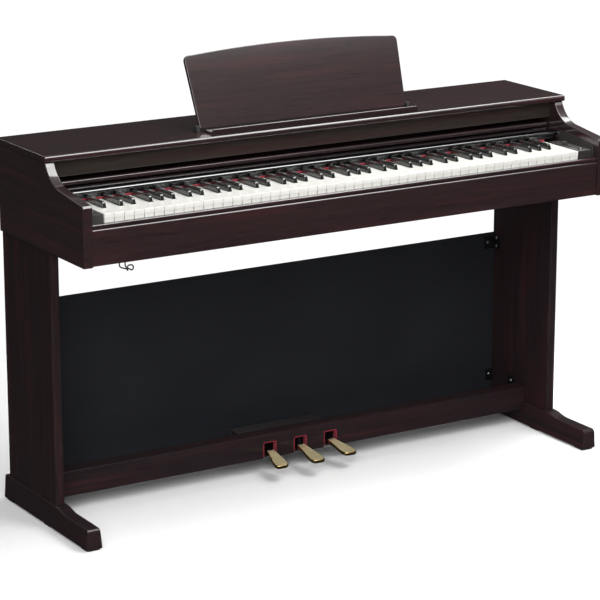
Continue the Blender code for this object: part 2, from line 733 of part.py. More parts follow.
def draw_pedal(place, tip_y):
    centre, splay = pedal_centre(place), PEDAL_SPLAY * place

    def draw(drawing):
        rings = []
        for y, half, share in pedal_sections(tip_y):
            x, top = centre + splay * min(share, 1.3), pedal_top(y, tip_y)
            edge = 0.0012 * half / PEDAL_WIDE
            corners = [(x - half, top - 0.0012), (x - half + edge, top)]
            corners += [(x + half - edge, top), (x + half, top - 0.0012)]
            corners += [(x + half, top - PEDAL_THICK), (x - half, top - PEDAL_THICK)]
            rings.append([drawing.verts.new((px, y, pz)) for px, pz in corners])
        drawing.faces.new(rings[0])
        drawing.faces.new(rings[-1][::-1])
        for one, other in zip(rings, rings[1:]):
            for index in range(len(one)):
                after = (index + 1) % len(one)
                drawing.faces.new((one[index], other[index], other[after], one[after]))

    return draw


def make_pedals():
    notches = []
    for name, place, tip_y in PEDALS:
        centre = pedal_centre(place)
        origin = (centre, AXLE_Y, AXLE_Z)
        obj = add_object(name, draw_pedal(place, tip_y), "pedal_brass", origin)
        ends = ((centre - 0.0085, AXLE_Y, AXLE_Z), (centre + 0.0085, AXLE_Y, AXLE_Z))
        boolean(obj, "UNION", draw_rod(*ends, 0.0075, 16), name + "_eye")
        ends = ((centre - 0.02, AXLE_Y, AXLE_Z), (centre + 0.02, AXLE_Y, AXLE_Z))
        boolean(obj, "DIFFERENCE", draw_rod(*ends, AXLE_RADIUS + GAP, 16), name + "_bore")
        half = NOTCH_WIDTH / 2
        notches.append(draw_box((centre - half, 0.03, 0.03), (centre + half, 0.10, NOTCH_TOP)))

    wall = 0.012
    rail = [(RAIL_FRONT, RAIL_BOTTOM), (RAIL_FRONT, RAIL_TOP - 0.002), (RAIL_FRONT + 0.002, RAIL_TOP)]
    rail += [(RAIL_BACK, RAIL_TOP), (RAIL_BACK, RAIL_TOP - wall), (RAIL_FRONT + wall, RAIL_TOP - wall)]
    rail += [(RAIL_FRONT + wall, RAIL_BOTTOM)]
    half = LEG_IN - GAP
    obj = add_object("pedal_rail", draw_prism(rail, "X", -half, half), "rosewood")
    step = foot_inside(RAIL_BOTTOM)
    ends = [((side * step, 0.03, 0.03), (side * 0.66, 0.10, FOOT_TOP + GAP)) for side in (-1, 1)]
    corners = [draw_box(*sorted_box(*pair)) for pair in ends]
    boolean(obj, "DIFFERENCE", draw_all(*notches, *corners), "pedal_notches")

    left, right = pedal_centre(-1) - 0.030, pedal_centre(1) + 0.030
    plate_low, plate_high, ear = 0.0365, 0.0395, 0.0700
    tray = [(left, plate_low), (right, plate_low)]
    tray += [(right, ear), (right - 0.003, ear), (right - 0.003, plate_high)]
    tray += [(left + 0.003, plate_high), (left + 0.003, ear), (left, ear)]
    plate = add_object("pedal_base_plate", draw_prism(tray, "Y", RAIL_FRONT + wall + GAP, 0.172), "steel")
    bore = draw_rod((left - 0.01, AXLE_Y, AXLE_Z), (right + 0.01, AXLE_Y, AXLE_Z), AXLE_RADIUS + GAP, 16)
    x, y = ADJUSTER_AT
    well = draw_rod((x, y, 0.030), (x, y, 0.050), 0.0063, 20)
    boolean(plate, "DIFFERENCE", draw_all(bore, well), "pedal_plate_bores")

    ends = ((left - 0.002, AXLE_Y, AXLE_Z), (right + 0.002, AXLE_Y, AXLE_Z))
    smooth(add_object("pedal_axle", draw_rod(*ends, AXLE_RADIUS, 16), "steel"))

    cover = [(RAIL_BACK + GAP, 0.0745), (0.1755, 0.0745), (0.1755, 0.040), (0.1785, 0.040), (0.1785, 0.0775)]
    cover += [(RAIL_BACK + GAP, 0.0775)]
    add_object("pedal_housing", draw_prism(cover, "X", left - 0.004, right + 0.004), "black_plastic")

    profile = [(0, 0.0285), (0.016, 0.0285), (0.018, 0.0300), (0.018, 0.0350), (0.016, 0.0360)]
    profile += [(0.006, 0.0360), (0.006, 0.0700), (0, 0.0700)]
    origin = (*ADJUSTER_AT, 0.036)
    smooth(add_object("height_adjuster", draw_turned(profile, ADJUSTER_AT, 20), "black_plastic", origin))


def main():
    clear_scene()
    make_materials()
    make_cabinet()
    make_speakers()
    make_panel_and_cover()
    make_end_blocks()
    make_controls()
    make_keyboard()
    make_music_rest()
    make_under_cabinet()
    make_stand()
    make_pedals()


main()
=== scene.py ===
"""Looks of a slim digital piano on a two-legged stand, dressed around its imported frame.

Metres throughout. +X is the player's right, -Y faces the player and +Z is up.
"""

from __future__ import annotations

import json
import logging
import math
from dataclasses import dataclass
from enum import Enum

import bmesh
import bpy
import numpy as np
from mathutils import Matrix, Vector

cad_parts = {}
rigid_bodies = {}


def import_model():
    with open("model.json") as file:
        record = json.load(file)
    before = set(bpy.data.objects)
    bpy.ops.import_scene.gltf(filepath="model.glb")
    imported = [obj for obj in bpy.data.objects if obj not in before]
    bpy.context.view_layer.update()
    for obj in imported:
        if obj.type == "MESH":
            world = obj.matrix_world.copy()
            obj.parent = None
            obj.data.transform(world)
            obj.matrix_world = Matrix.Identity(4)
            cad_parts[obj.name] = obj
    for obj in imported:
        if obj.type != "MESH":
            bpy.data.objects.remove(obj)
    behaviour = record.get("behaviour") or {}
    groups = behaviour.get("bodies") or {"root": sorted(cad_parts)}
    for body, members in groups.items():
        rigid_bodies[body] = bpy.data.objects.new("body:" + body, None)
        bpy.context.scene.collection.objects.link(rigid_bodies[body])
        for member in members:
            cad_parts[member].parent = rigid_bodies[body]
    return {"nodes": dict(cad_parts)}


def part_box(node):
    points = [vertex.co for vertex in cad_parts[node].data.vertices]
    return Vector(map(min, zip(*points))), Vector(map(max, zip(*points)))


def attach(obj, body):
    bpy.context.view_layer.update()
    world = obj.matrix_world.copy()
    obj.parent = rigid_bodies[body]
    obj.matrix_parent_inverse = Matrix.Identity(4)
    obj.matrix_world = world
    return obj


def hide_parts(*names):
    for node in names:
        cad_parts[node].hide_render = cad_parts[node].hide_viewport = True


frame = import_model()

log = logging.getLogger("piano")
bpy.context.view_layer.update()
Array = np.ndarray
Skin = tuple[Array, list[list[int]]]
GAP = 0.0003


class Axis(Enum):
    """A row axis that a profile is carried along, as the places of its first, second and carried numbers."""

    X = (1, 2, 0)
    Y = (0, 2, 1)
    Z = (0, 1, 2)


# Surfaces


def fillet(corners: list[tuple[float, float, float]], steps: int = 4) -> Array:
    """Rounds the corners of a closed outline.

    Each corner becomes an arc tangent to both its sides: its centre lies on the bisector, at the radius over
    the sine of half the corner's angle, and the arc's points turn evenly between the two tangent points.

    Args:
        corners: (first, second, radius) of each corner; a radius of 0 keeps it sharp.
        steps: segments in each arc.

    Returns:
        The outline's points, (n, 2), anticlockwise.
    """
    table = np.array(corners, float)
    points, radii = table[:, :2], table[:, 2]
    before = np.roll(points, 1, axis=0) - points
    after = np.roll(points, -1, axis=0) - points
    before /= np.linalg.norm(before, axis=1)[:, None]
    after /= np.linalg.norm(after, axis=1)[:, None]
    half = np.arccos(np.clip((before * after).sum(1), -1, 1)) / 2
    bisector = before + after
    length = np.linalg.norm(bisector, axis=1)
    bisector = bisector / np.maximum(length, 1e-9)[:, None]
    round_one = (radii > 0) & (length > 1e-6)
    reach = np.where(round_one, radii, 0)
    centre = points + bisector * (reach / np.sin(half))[:, None]
    start = points + before * (reach / np.tan(half))[:, None] - centre
    end = points + after * (reach / np.tan(half))[:, None] - centre
    share = np.linspace(0, 1, steps + 1)[None, :, None]
    sweep = (np.pi - 2 * half)[:, None, None]
    blend = np.sin((1 - share) * sweep) * start[:, None] + np.sin(share * sweep) * end[:, None]
    blend = blend / np.maximum(np.sin(sweep), 1e-9)
    arcs = np.where(round_one[:, None, None], centre[:, None] + blend, points[:, None]).reshape(-1, 2)
    kept = arcs[np.linalg.norm(arcs - np.roll(arcs, 1, axis=0), axis=1) > 1e-7]
    return anticlockwise(kept)


def anticlockwise(outline: Array) -> Array:
    """Turns an outline round if its signed area is negative.

    Args:
        outline: closed outline, (n, 2).

    Returns:
        The same points, anticlockwise.
    """
    x, y = outline.T
    area = (x * np.roll(y, -1) - np.roll(x, -1) * y).sum()
    return outline if area > 0 else outline[::-1]


def carried(
    outline: Array, axis: Axis, start: float, end: float, edge: float = 0.0, far_edge: float | None = None
) -> Array:
    """Carries an outline along an axis and rounds over both its end edges.

    A ring at angle a of the rounding is set in by edge x (1 - sin a) and stands edge x (1 - cos a) from the
    end face, so the edge is a quarter circle.

    Args:
        outline: closed anticlockwise outline, (n, 2).
        axis: the axis it is carried along.
        start: place of the first end.
        end: place of the second end.
        edge: radius of the first end's edge.
        far_edge: radius of the second end's edge, the same as the first if left out.

    Returns:
        The rings, (m, n, 3).
    """
    far_edge = edge if far_edge is None else far_edge
    before = outline - np.roll(outline, 1, axis=0)
    after = np.roll(outline, -1, axis=0) - outline
    normals = [
        np.stack([side[:, 1], -side[:, 0]], 1) / np.linalg.norm(side, axis=1)[:, None]
        for side in (before, after)
    ]
    mitre = normals[0] + normals[1]
    mitre /= np.maximum((mitre**2).sum(1), 0.4)[:, None] / 2
    turn = np.linspace(0, np.pi / 2, 4)
    sets_in = np.concatenate([edge * (1 - np.sin(turn)), far_edge * (1 - np.sin(turn))[::-1]])
    along = np.concatenate([start + edge * (1 - np.cos(turn)), (end - far_edge * (1 - np.cos(turn)))[::-1]])
    rings = np.empty((len(along), len(outline), 3))
    flat = outline[None] - mitre[None] * sets_in[:, None, None]
    first, second, carried_place = axis.value
    rings[..., first] = flat[..., 0]
    rings[..., second] = flat[..., 1]
    rings[..., carried_place] = along[:, None]
    keep = np.r_[True, np.abs(np.diff(along)) > 1e-9]
    return rings[keep]


def slab(
    low: tuple[float, ...], high: tuple[float, ...], edge: float, axis: Axis = Axis.Z, corner: float = 0.0
) -> Array:
    """A board with rounded edges: a rectangle with its corners filleted, carried along an axis.

    Args:
        low: lowest corner.
        high: highest corner.
        edge: radius of the edges round both ends of the axis.
        axis: the axis it is carried along.
        corner: radius of the rectangle's corners, the same as edge if it is 0.

    Returns:
        The rings, (m, n, 3).
    """
    first, second, along = axis.value
    radius = corner or edge
    corners = [(x, y, radius) for x, y in ((low[first], low[second]), (high[first], low[second]))]
    corners += [(x, y, radius) for x, y in ((high[first], high[second]), (low[first], high[second]))]
    return carried(fillet(corners, 3), axis, low[along], high[along], edge)


def turned(
    profile: list[tuple[float, float]], centre: tuple[float, ...], axis: Axis = Axis.Z, steps: int = 32
) -> Array:
    """Turns a profile round an axis: each (radius, height) becomes a ring of that radius.

    Args:
        profile: (radius, height) pairs, with no point on the axis itself.
        centre: a point of the axis, at height 0.
        axis: the axis it turns round.
        steps: points in a ring.

    Returns:
        The rings, (m, steps, 3).
    """
    radius, height = np.array(profile, float).T
    turn = np.linspace(0, 2 * np.pi, steps, endpoint=False)
    first, second, along = axis.value
    rings = np.empty((len(radius), steps, 3))
    rings[..., first] = centre[first] + radius[:, None] * np.cos(turn)
    rings[..., second] = centre[second] + radius[:, None] * np.sin(turn)
    rings[..., along] = centre[along] + height[:, None]
    return rings


def smooth_path(points: list[tuple[float, ...]], steps: int = 6) -> Array:
    """A Catmull-Rom curve: each span is a cubic whose slope at a point is half the chord past that point.

    Args:
        points: the points that it passes through.
        steps: segments in each span.

    Returns:
        The curve's points, (m, 3).
    """
    table = np.array(points, float)
    padded = np.concatenate([2 * table[:1] - table[1:2], table, 2 * table[-1:] - table[-2:-1]])
    one, two, three, four = (padded[i : len(padded) - 3 + i][:, None] for i in range(4))
    share = np.linspace(0, 1, steps, endpoint=False)[None, :, None]
    curve = 2 * two + (three - one) * share + (2 * one - 5 * two + 4 * three - four) * share**2
    curve = (curve + (3 * two - one - 3 * three + four) * share**3) / 2
    return np.concatenate([curve.reshape(-1, 3), table[-1:]])


def tube(path: Array, radius: float, sides: int = 12) -> Array:
    """A round wire along a path.

    Each ring lies square to the path. Its first direction is the last one's, less its part along the path,
    so that the rings don't twist.

    Args:
        path: the centreline, (m, 3).
        radius: the wire's radius.
        sides: points in a ring.

    Returns:
        The rings, (m, sides, 3).
    """
    tangent = np.gradient(path, axis=0)
    tangent /= np.linalg.norm(tangent, axis=1)[:, None]
    across = np.empty_like(path)
    guide = np.cross(tangent[0], (0.3, 0.5, 0.8))
    for station, direction in enumerate(tangent):
        guide = guide - direction * (guide @ direction)
        guide = guide / np.linalg.norm(guide)
        across[station] = guide
    other = np.cross(tangent, across)
    turn = np.linspace(0, 2 * np.pi, sides, endpoint=False)[None, :, None]
    return path[:, None] + radius * (np.cos(turn) * across[:, None] + np.sin(turn) * other[:, None])


def skin(rings: Array) -> Skin:
    """Joins each ring to the next with quads and closes both ends with a flat face.

    Args:
        rings: (m, n, 3).

    Returns:
        Points and faces.
    """
    count, around = rings.shape[:2]
    index = np.arange(around)
    low = np.arange(count - 1)[:, None] * around
    after = np.roll(index, -1)
    quads = np.stack(
        [low + index, low + after, low + after + around, low + index + around], -1
    ).reshape(-1, 4)
    caps = [index[::-1].tolist(), (index + (count - 1) * around).tolist()]
    return rings.reshape(-1, 3), quads.tolist() + caps


# Finishes


def linear(colour: str) -> tuple[float, float, float, float]:
    """Turns an sRGB hex colour into linear light.

    Args:
        colour: the colour, as #rrggbb.

    Returns:
        Linear red, green, blue and alpha.
    """
    value = np.array([int(colour[i : i + 2], 16) for i in (1, 3, 5)]) / 255
    light = np.where(value <= 0.04045, value / 12.92, ((value + 0.055) / 1.055) ** 2.4)
    return (*light.tolist(), 1.0)


def add(
    tree: bpy.types.NodeTree, kind: str, inputs: dict | None = None, **settings: object
) -> bpy.types.Node:
    """Adds a node, sets it, and fills its inputs.

    Args:
        tree: the material's node tree.
        kind: the node's type.
        inputs: input name or number to a value, or to the socket that is linked to it.
        settings: the node's own properties.

    Returns:
        The node.
    """
    node = tree.nodes.new(kind)
    for key, value in settings.items():
        setattr(node, key, value)
    for key, value in (inputs or {}).items():
        if isinstance(value, bpy.types.NodeSocket):
            tree.links.new(value, node.inputs[key])
        else:
            node.inputs[key].default_value = value
    return node


@dataclass(frozen=True)
class Finish:
    """A surface whose colour, roughness and relief follow two noise patterns of real size.

    The broad pattern mixes dark and light and the fine one adds grain, gloss changes and relief.
    """

    title: str
    dark: str
    light: str
    # Size in metres of one patch of each pattern along X, Y and Z
    broad: tuple[float, float, float] = (0.05, 0.05, 0.05)
    fine: tuple[float, float, float] = (0.0012, 0.0012, 0.0012)
    gloss: tuple[float, float] = (0.3, 0.4)
    relief: float = 0.00002
    grain: float = 0.25
    metallic: float = 0.0
    coat: float = 0.0
    coat_roughness: float = 0.1
    coat_ior: float = 1.5
    sheen: float = 0.0
    specular: float = 0.5
    tint: str = ""
    tint_share: float = 0.0

    def material(self) -> bpy.types.Material:
        """The finish's material, made once.

        Returns:
            The material.
        """
        made = bpy.data.materials.get(self.title)
        if made:
            return made
        made = bpy.data.materials.new(self.title)
        made.use_nodes = True
        self.dress(made.node_tree, made.node_tree.nodes["Principled BSDF"])
        return made

    def dress(self, tree: bpy.types.NodeTree, shader: bpy.types.Node) -> None:
        """Builds the patterns and links them to the shader.

        Args:
            tree: the material's node tree.
            shader: its Principled node.
        """
        place = add(tree, "ShaderNodeTexCoord").outputs["Object"]
        broad = self.pattern(tree, place, self.broad, 4.0)
        fine = self.pattern(tree, place, self.fine, 2.0)
        spread = add(tree, "ShaderNodeMapRange", {0: broad, 1: 0.3, 2: 0.7})
        colour = add(
            tree,
            "ShaderNodeMix",
            {0: spread.outputs[0], 6: linear(self.dark), 7: linear(self.light)},
            data_type="RGBA",
        )
        result = colour.outputs[2]
        if self.tint:
            shifted = add(tree, "ShaderNodeVectorMath", {0: place, 1: (0.37, 0.11, 0.73)}, operation="ADD")
            wide = tuple(size * 2.2 for size in self.broad)
            streaks = self.pattern(tree, shifted.outputs[0], wide, 3.0)
            share = add(tree, "ShaderNodeMapRange", {0: streaks, 1: 0.5, 2: 0.68, 4: self.tint_share})
            tinted = add(
                tree, "ShaderNodeMix", {
                    0: share.outputs[0], 6: result, 7: linear(self.tint)
                }, data_type="RGBA"
            )
            result = tinted.outputs[2]
        shade = add(
            tree, "ShaderNodeMapRange", {0: fine, 1: 0.3, 2: 0.7, 3: 1 - self.grain, 4: 1 + self.grain}
        )
        grained = add(
            tree, "ShaderNodeVectorMath", {0: result, "Scale": shade.outputs[0]}, operation="SCALE"
        )
        tree.links.new(grained.outputs[0], shader.inputs["Base Color"])
        low, high = self.gloss
        polish = add(tree, "ShaderNodeMapRange", {0: fine, 1: 0.25, 2: 0.75, 3: low, 4: high})
        tree.links.new(polish.outputs[0], shader.inputs["Roughness"])
        bump = add(tree, "ShaderNodeBump", {"Strength": 1.0, "Distance": self.relief, "Height": fine})
        tree.links.new(bump.outputs[0], shader.inputs["Normal"])
        shader.inputs["Metallic"].default_value = self.metallic
        shader.inputs["Specular IOR Level"].default_value = self.specular
        shader.inputs["Coat Weight"].default_value = self.coat
        shader.inputs["Coat Roughness"].default_value = self.coat_roughness
        shader.inputs["Coat IOR"].default_value = self.coat_ior
        shader.inputs["Sheen Weight"].default_value = self.sheen

    @staticmethod
    def pattern(
        tree: bpy.types.NodeTree, place: bpy.types.NodeSocket, size: tuple[float, ...], detail: float
    ) -> bpy.types.NodeSocket:
        """A noise whose patches measure size along X, Y and Z.

        Args:
            tree: the material's node tree.
            place: the socket of the point that is coloured.
            size: metres of one patch along each axis.
            detail: octaves of the noise.

        Returns:
            The noise's socket, from about 0.25 to 0.75.
        """
        scale = tuple(1 / metres for metres in size)
        stretched = add(tree, "ShaderNodeMapping", {"Vector": place, "Scale": scale})
        noise = add(
            tree,
            "ShaderNodeTexNoise",
            {"Vector": stretched.outputs[0], "Scale": 1.0, "Detail": detail, "Distortion": 0.4},
        )
        return noise.outputs[0]


def rosewood(
    axis: Axis, title: str, dark: str = "#231719", light: str = "#2c1e1f", coat: float = 0.9
) -> Finish:
    """Rosewood-patterned laminate, satin lacquered, with its grain along an axis.

    Printed melamine foil pressed on board: dark brown bands about 8 mm wide with redder streaks, pores drawn
    2.2 mm wide, ten times the real ones, so that they show, and a thin clear satin coat.

    Args:
        axis: the direction of the grain.
        title: the material's name.
        dark: colour of the dark bands.
        light: colour of the light bands.
        coat: share of the clear coat, which is fuller on the cabinet than on the stand.

    Returns:
        The finish.
    """
    along = axis.value[2]
    broad = tuple(0.22 if place == along else 0.008 for place in range(3))
    fine = tuple(0.05 if place == along else 0.0022 for place in range(3))
    return Finish(
        title,
        dark,
        light,
        broad=broad,
        fine=fine,
        gloss=(0.34, 0.46),
        relief=0.000006,
        grain=0.17,
        coat=coat,
        coat_roughness=0.11,
        coat_ior=1.75,
        specular=0.15,
        tint="#3a1e20",
        tint_share=0.6,
    )


ROSEWOOD_X = rosewood(Axis.X, "rosewood_laminate_along_x")
ROSEWOOD_Y = rosewood(Axis.Y, "rosewood_laminate_along_y")
STAND_X = rosewood(Axis.X, "rosewood_laminate_stand_along_x", "#1f1719", "#271d1f", coat=0.2)
STAND_Y = rosewood(Axis.Y, "rosewood_laminate_stand_along_y", "#1f1719", "#271d1f", coat=0.3)
STAND_Z = rosewood(Axis.Z, "rosewood_laminate_stand_along_z", "#1f1719", "#271d1f", coat=0.2)
# A lit copy of the same laminate: the upright board under the lid faces the light squarely, and its greyer
# brown is a painted reflection of that light, not a different lacquer
NAME_BOARD_PAINTED_REFLECTION = rosewood(Axis.X, "rosewood_laminate_name_board_painted_reflection", "#2a2421", "#342c28")
# Black melamine board with a faint blue cast and a half gloss
BLACK_BOARD = Finish(
    "black_melamine_board", "#1c1d21", "#212226", (0.25,) * 3, (0.003,) * 3, (
        0.42, 0.5
    ), 0.00001, 0.06, specular=0.3
)
# Unpainted black hardboard, dull and slightly fibrous
HARDBOARD = Finish(
    "black_hardboard", "#171614", "#23211f", (0.03, 0.03, 0.03), gloss=(0.6, 0.75), relief=0.00012
)
# Polished black ABS, like wet lacquer
POLISHED = Finish(
    "polished_black_abs",
    "#070708",
    "#0b0b0d",
    (0.2, 0.2, 0.2),
    gloss=(0.07, 0.11),
    relief=0.000003,
    coat=1.0,
    coat_ior=1.8,
)
# Spark-eroded black ABS: a fine matt moulded texture
MOULDED = Finish(
    "moulded_black_abs", "#2a2727", "#343030", (0.02, 0.02, 0.02), (0.0012,) * 3, (0.45, 0.58), 0.00004, 0.1
)
# Cast acrylic key tops, ivory white, smooth and a little translucent
IVORY = Finish(
    "ivory_white_acrylic", "#dfded8", "#e7e6e1", (
        0.04, 0.2, 0.04
    ), gloss=(0.16, 0.26), relief=0.000004, grain=0.012, coat=0.3
)
# Moulded phenolic sharps: dense black, buffed so that their noses catch the light
EBONY = Finish(
    "buffed_black_phenolic",
    "#191b19",
    "#212321",
    broad=(0.006, 0.05, 0.006),
    fine=(0.0008, 0.008, 0.0008),
    gloss=(0.17, 0.25),
    relief=0.000006,
    grain=0.1,
    coat=0.6,
    coat_roughness=0.12,
    coat_ior=1.7,
)
# Woven wool felt, 1 mm fuzz drawn as coarse as it needs to show
FELT = Finish(
    "red_wool_felt", "#740a1e", "#8c0f28", (0.006,) * 3, (0.0009,) * 3, (0.85, 1.0), 0.0002, sheen=0.12
)
# Brass-plated casting under clear lacquer: pale gold, satin, with soft polishing marks along its length
BRASS = Finish(
    "satin_brass_plate",
    "#d6c496",
    "#e2d3a8",
    broad=(0.02, 0.06, 0.02),
    fine=(0.0009, 0.03, 0.002),
    gloss=(0.36, 0.44),
    relief=0.000004,
    grain=0.03,
    metallic=0.6,
    coat=0.7,
    coat_roughness=0.06,
)
# The same plating, buffed on the tread's rim: sharp dark and bright reflections of gold
BRASS_RIM = Finish(
    "polished_brass_plate", "#c2a566", "#d0b478", (
        0.02, 0.06, 0.02
    ), (0.002,) * 3, (0.12, 0.18), 0.000003, 0.03, 1.0
)
# Bright zinc on pressed steel
ZINC = Finish(
    "zinc_plated_steel", "#9a9da0", "#b9bcc0", (0.012,) * 3, (0.0015,) * 3, (0.32, 0.45), 0.00002, 0.1, 1.0
)
# Gloss black enamel on steel wire and plate
ENAMEL = Finish(
    "black_enamelled_steel", "#0b0b0b", "#141414", (0.02,) * 3, (0.001,) * 3, (0.22, 0.32), 0.00001, coat=0.3
)
# Soft black rubber, dull and dusty
RUBBER = Finish("black_rubber", "#161616", "#232323", (0.01,) * 3, (0.0009,) * 3, (0.75, 0.9), 0.00008)
# Doped paper of the loudspeaker cones
PAPER = Finish("black_cone_paper", "#1a1a1a", "#2a2a29", (0.01,) * 3, (0.0008,) * 3, (0.8, 0.95), 0.0001)
# Bare birch plywood of the bed inside
PLYWOOD = Finish(
    "bare_plywood", "#a98c62", "#c2a67c", (0.3, 0.02, 0.02), (0.03, 0.002, 0.002), (0.6, 0.75), 0.00008
)
# Knitted black speaker cloth
CLOTH = Finish(
    "black_speaker_cloth", "#101010", "#1f1f1f", (0.01,) * 3, (0.0011,) * 3, (0.85, 1.0), 0.0003, sheen=0.3
)


# Pieces


def build(
    name: str,
    rings: list[Array],
    finish: Finish,
    body: str = "piano",
    stands_for: str = "",
    crease: float = 32.0,
) -> bpy.types.Object:
    """Makes one finished piece out of closed skins, and hangs it on its body.

    Args:
        name: the piece's name.
        rings: the rings of each skin.
        finish: its finish.
        body: the CAD body that it rides.
        stands_for: the CAD node that it replaces, if any.
        crease: degrees between two faces above which the edge between them is sharp.

    Returns:
        The object.
    """
    points, faces = [], []
    total = 0
    for part in rings:
        part_points, part_faces = skin(part)
        points.append(part_points)
        faces += [[index + total for index in face] for face in part_faces]
        total += len(part_points)
    mesh = bpy.data.meshes.new(name)
    mesh.from_pydata(np.concatenate(points), [], faces)
    drawing = bmesh.new()
    drawing.from_mesh(mesh)
    bmesh.ops.remove_doubles(drawing, verts=drawing.verts, dist=1e-6)
    bmesh.ops.recalc_face_normals(drawing, faces=drawing.faces)
    drawing.to_mesh(mesh)
    drawing.free()
    return hang(mesh, name, finish, body, stands_for, crease)


def hang(
    mesh: bpy.types.Mesh, name: str, finish: Finish, body: str, stands_for: str, crease: float
) -> bpy.types.Object:
    """Shades and dresses a mesh, makes its object and hangs it on its body.

    Args:
        mesh: the piece's mesh.
        name: the piece's name.
        finish: its finish.
        body: the CAD body that it rides.
        stands_for: the CAD node that it replaces, or nothing.
        crease: degrees between two faces above which the edge between them is sharp.

    Returns:
        The object.
    """
    mesh.shade_smooth()
    mesh.set_sharp_from_angle(angle=math.radians(crease))
    mesh.materials.clear()
    mesh.materials.append(finish.material())
    obj = bpy.data.objects.new(name, mesh)
    bpy.context.scene.collection.objects.link(obj)
    weighted = obj.modifiers.new("even_shading", "WEIGHTED_NORMAL")
    weighted.keep_sharp = True
    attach(obj, body)
    if stands_for:
        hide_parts(stands_for)
    return obj


def softened(node: str, finish: Finish, edge: float) -> bpy.types.Object:
    """A copy of a CAD node with its loose triangles merged and its edges rounded over.

    Args:
        node: the CAD node.
        finish: its finish.
        edge: radius of the rounding.

    Returns:
        The object.
    """
    drawing = bmesh.new()
    drawing.from_mesh(frame["nodes"][node].data)
    bmesh.ops.remove_doubles(drawing, verts=drawing.verts, dist=2e-5)
    bmesh.ops.dissolve_limit(drawing, angle_limit=math.radians(1), verts=drawing.verts, edges=drawing.edges)
    mesh = bpy.data.meshes.new(node + "_soft")
    drawing.to_mesh(mesh)
    drawing.free()
    obj = hang(mesh, node + "_soft", finish, "piano", node, 180)
    obj.modifiers.remove(obj.modifiers["even_shading"])
    bevel = obj.modifiers.new("rounded_edges", "BEVEL")
    bevel.width = edge
    bevel.segments = 2
    bevel.limit_method = "ANGLE"
    bevel.angle_limit = math.radians(40)
    bevel.harden_normals = True
    return obj


def screw(name: str, place: tuple[float, ...], axis: Axis, outward: int, finish: Finish = ENAMEL) -> None:
    """A pan-head screw with a cross recess, its head standing on a face.

    Args:
        name: the piece's name.
        place: the head's centre on the face.
        axis: the axis that the screw lies along.
        outward: 1 or -1, the way the head looks.
        finish: its finish.
    """
    radius, height = 0.0038, 0.0019
    bend = np.linspace(0, np.pi / 2, 5)
    dome = [(radius * math.cos(turn) + 1e-4, outward * height * math.sin(turn)) for turn in bend]
    build(
        name,
        [turned([(radius * 0.98, -outward * 0.0002), *dome], place, axis, 16)],
        finish,
    )
    first, second, along = axis.value
    slots = []
    for long, short in ((0.0019, 0.0004), (0.0004, 0.0019)):
        low, high = [0.0] * 3, [0.0] * 3
        low[first], high[first] = place[first] - long, place[first] + long
        low[second], high[second] = place[second] - short, place[second] + short
        ends = sorted((place[along] + outward * height * 0.5, place[along] + outward * (height + 0.00008)))
        low[along], high[along] = ends
        slots.append(slab(tuple(low), tuple(high), 0.00005, axis))
    build(name + "_recess", slots, RUBBER)


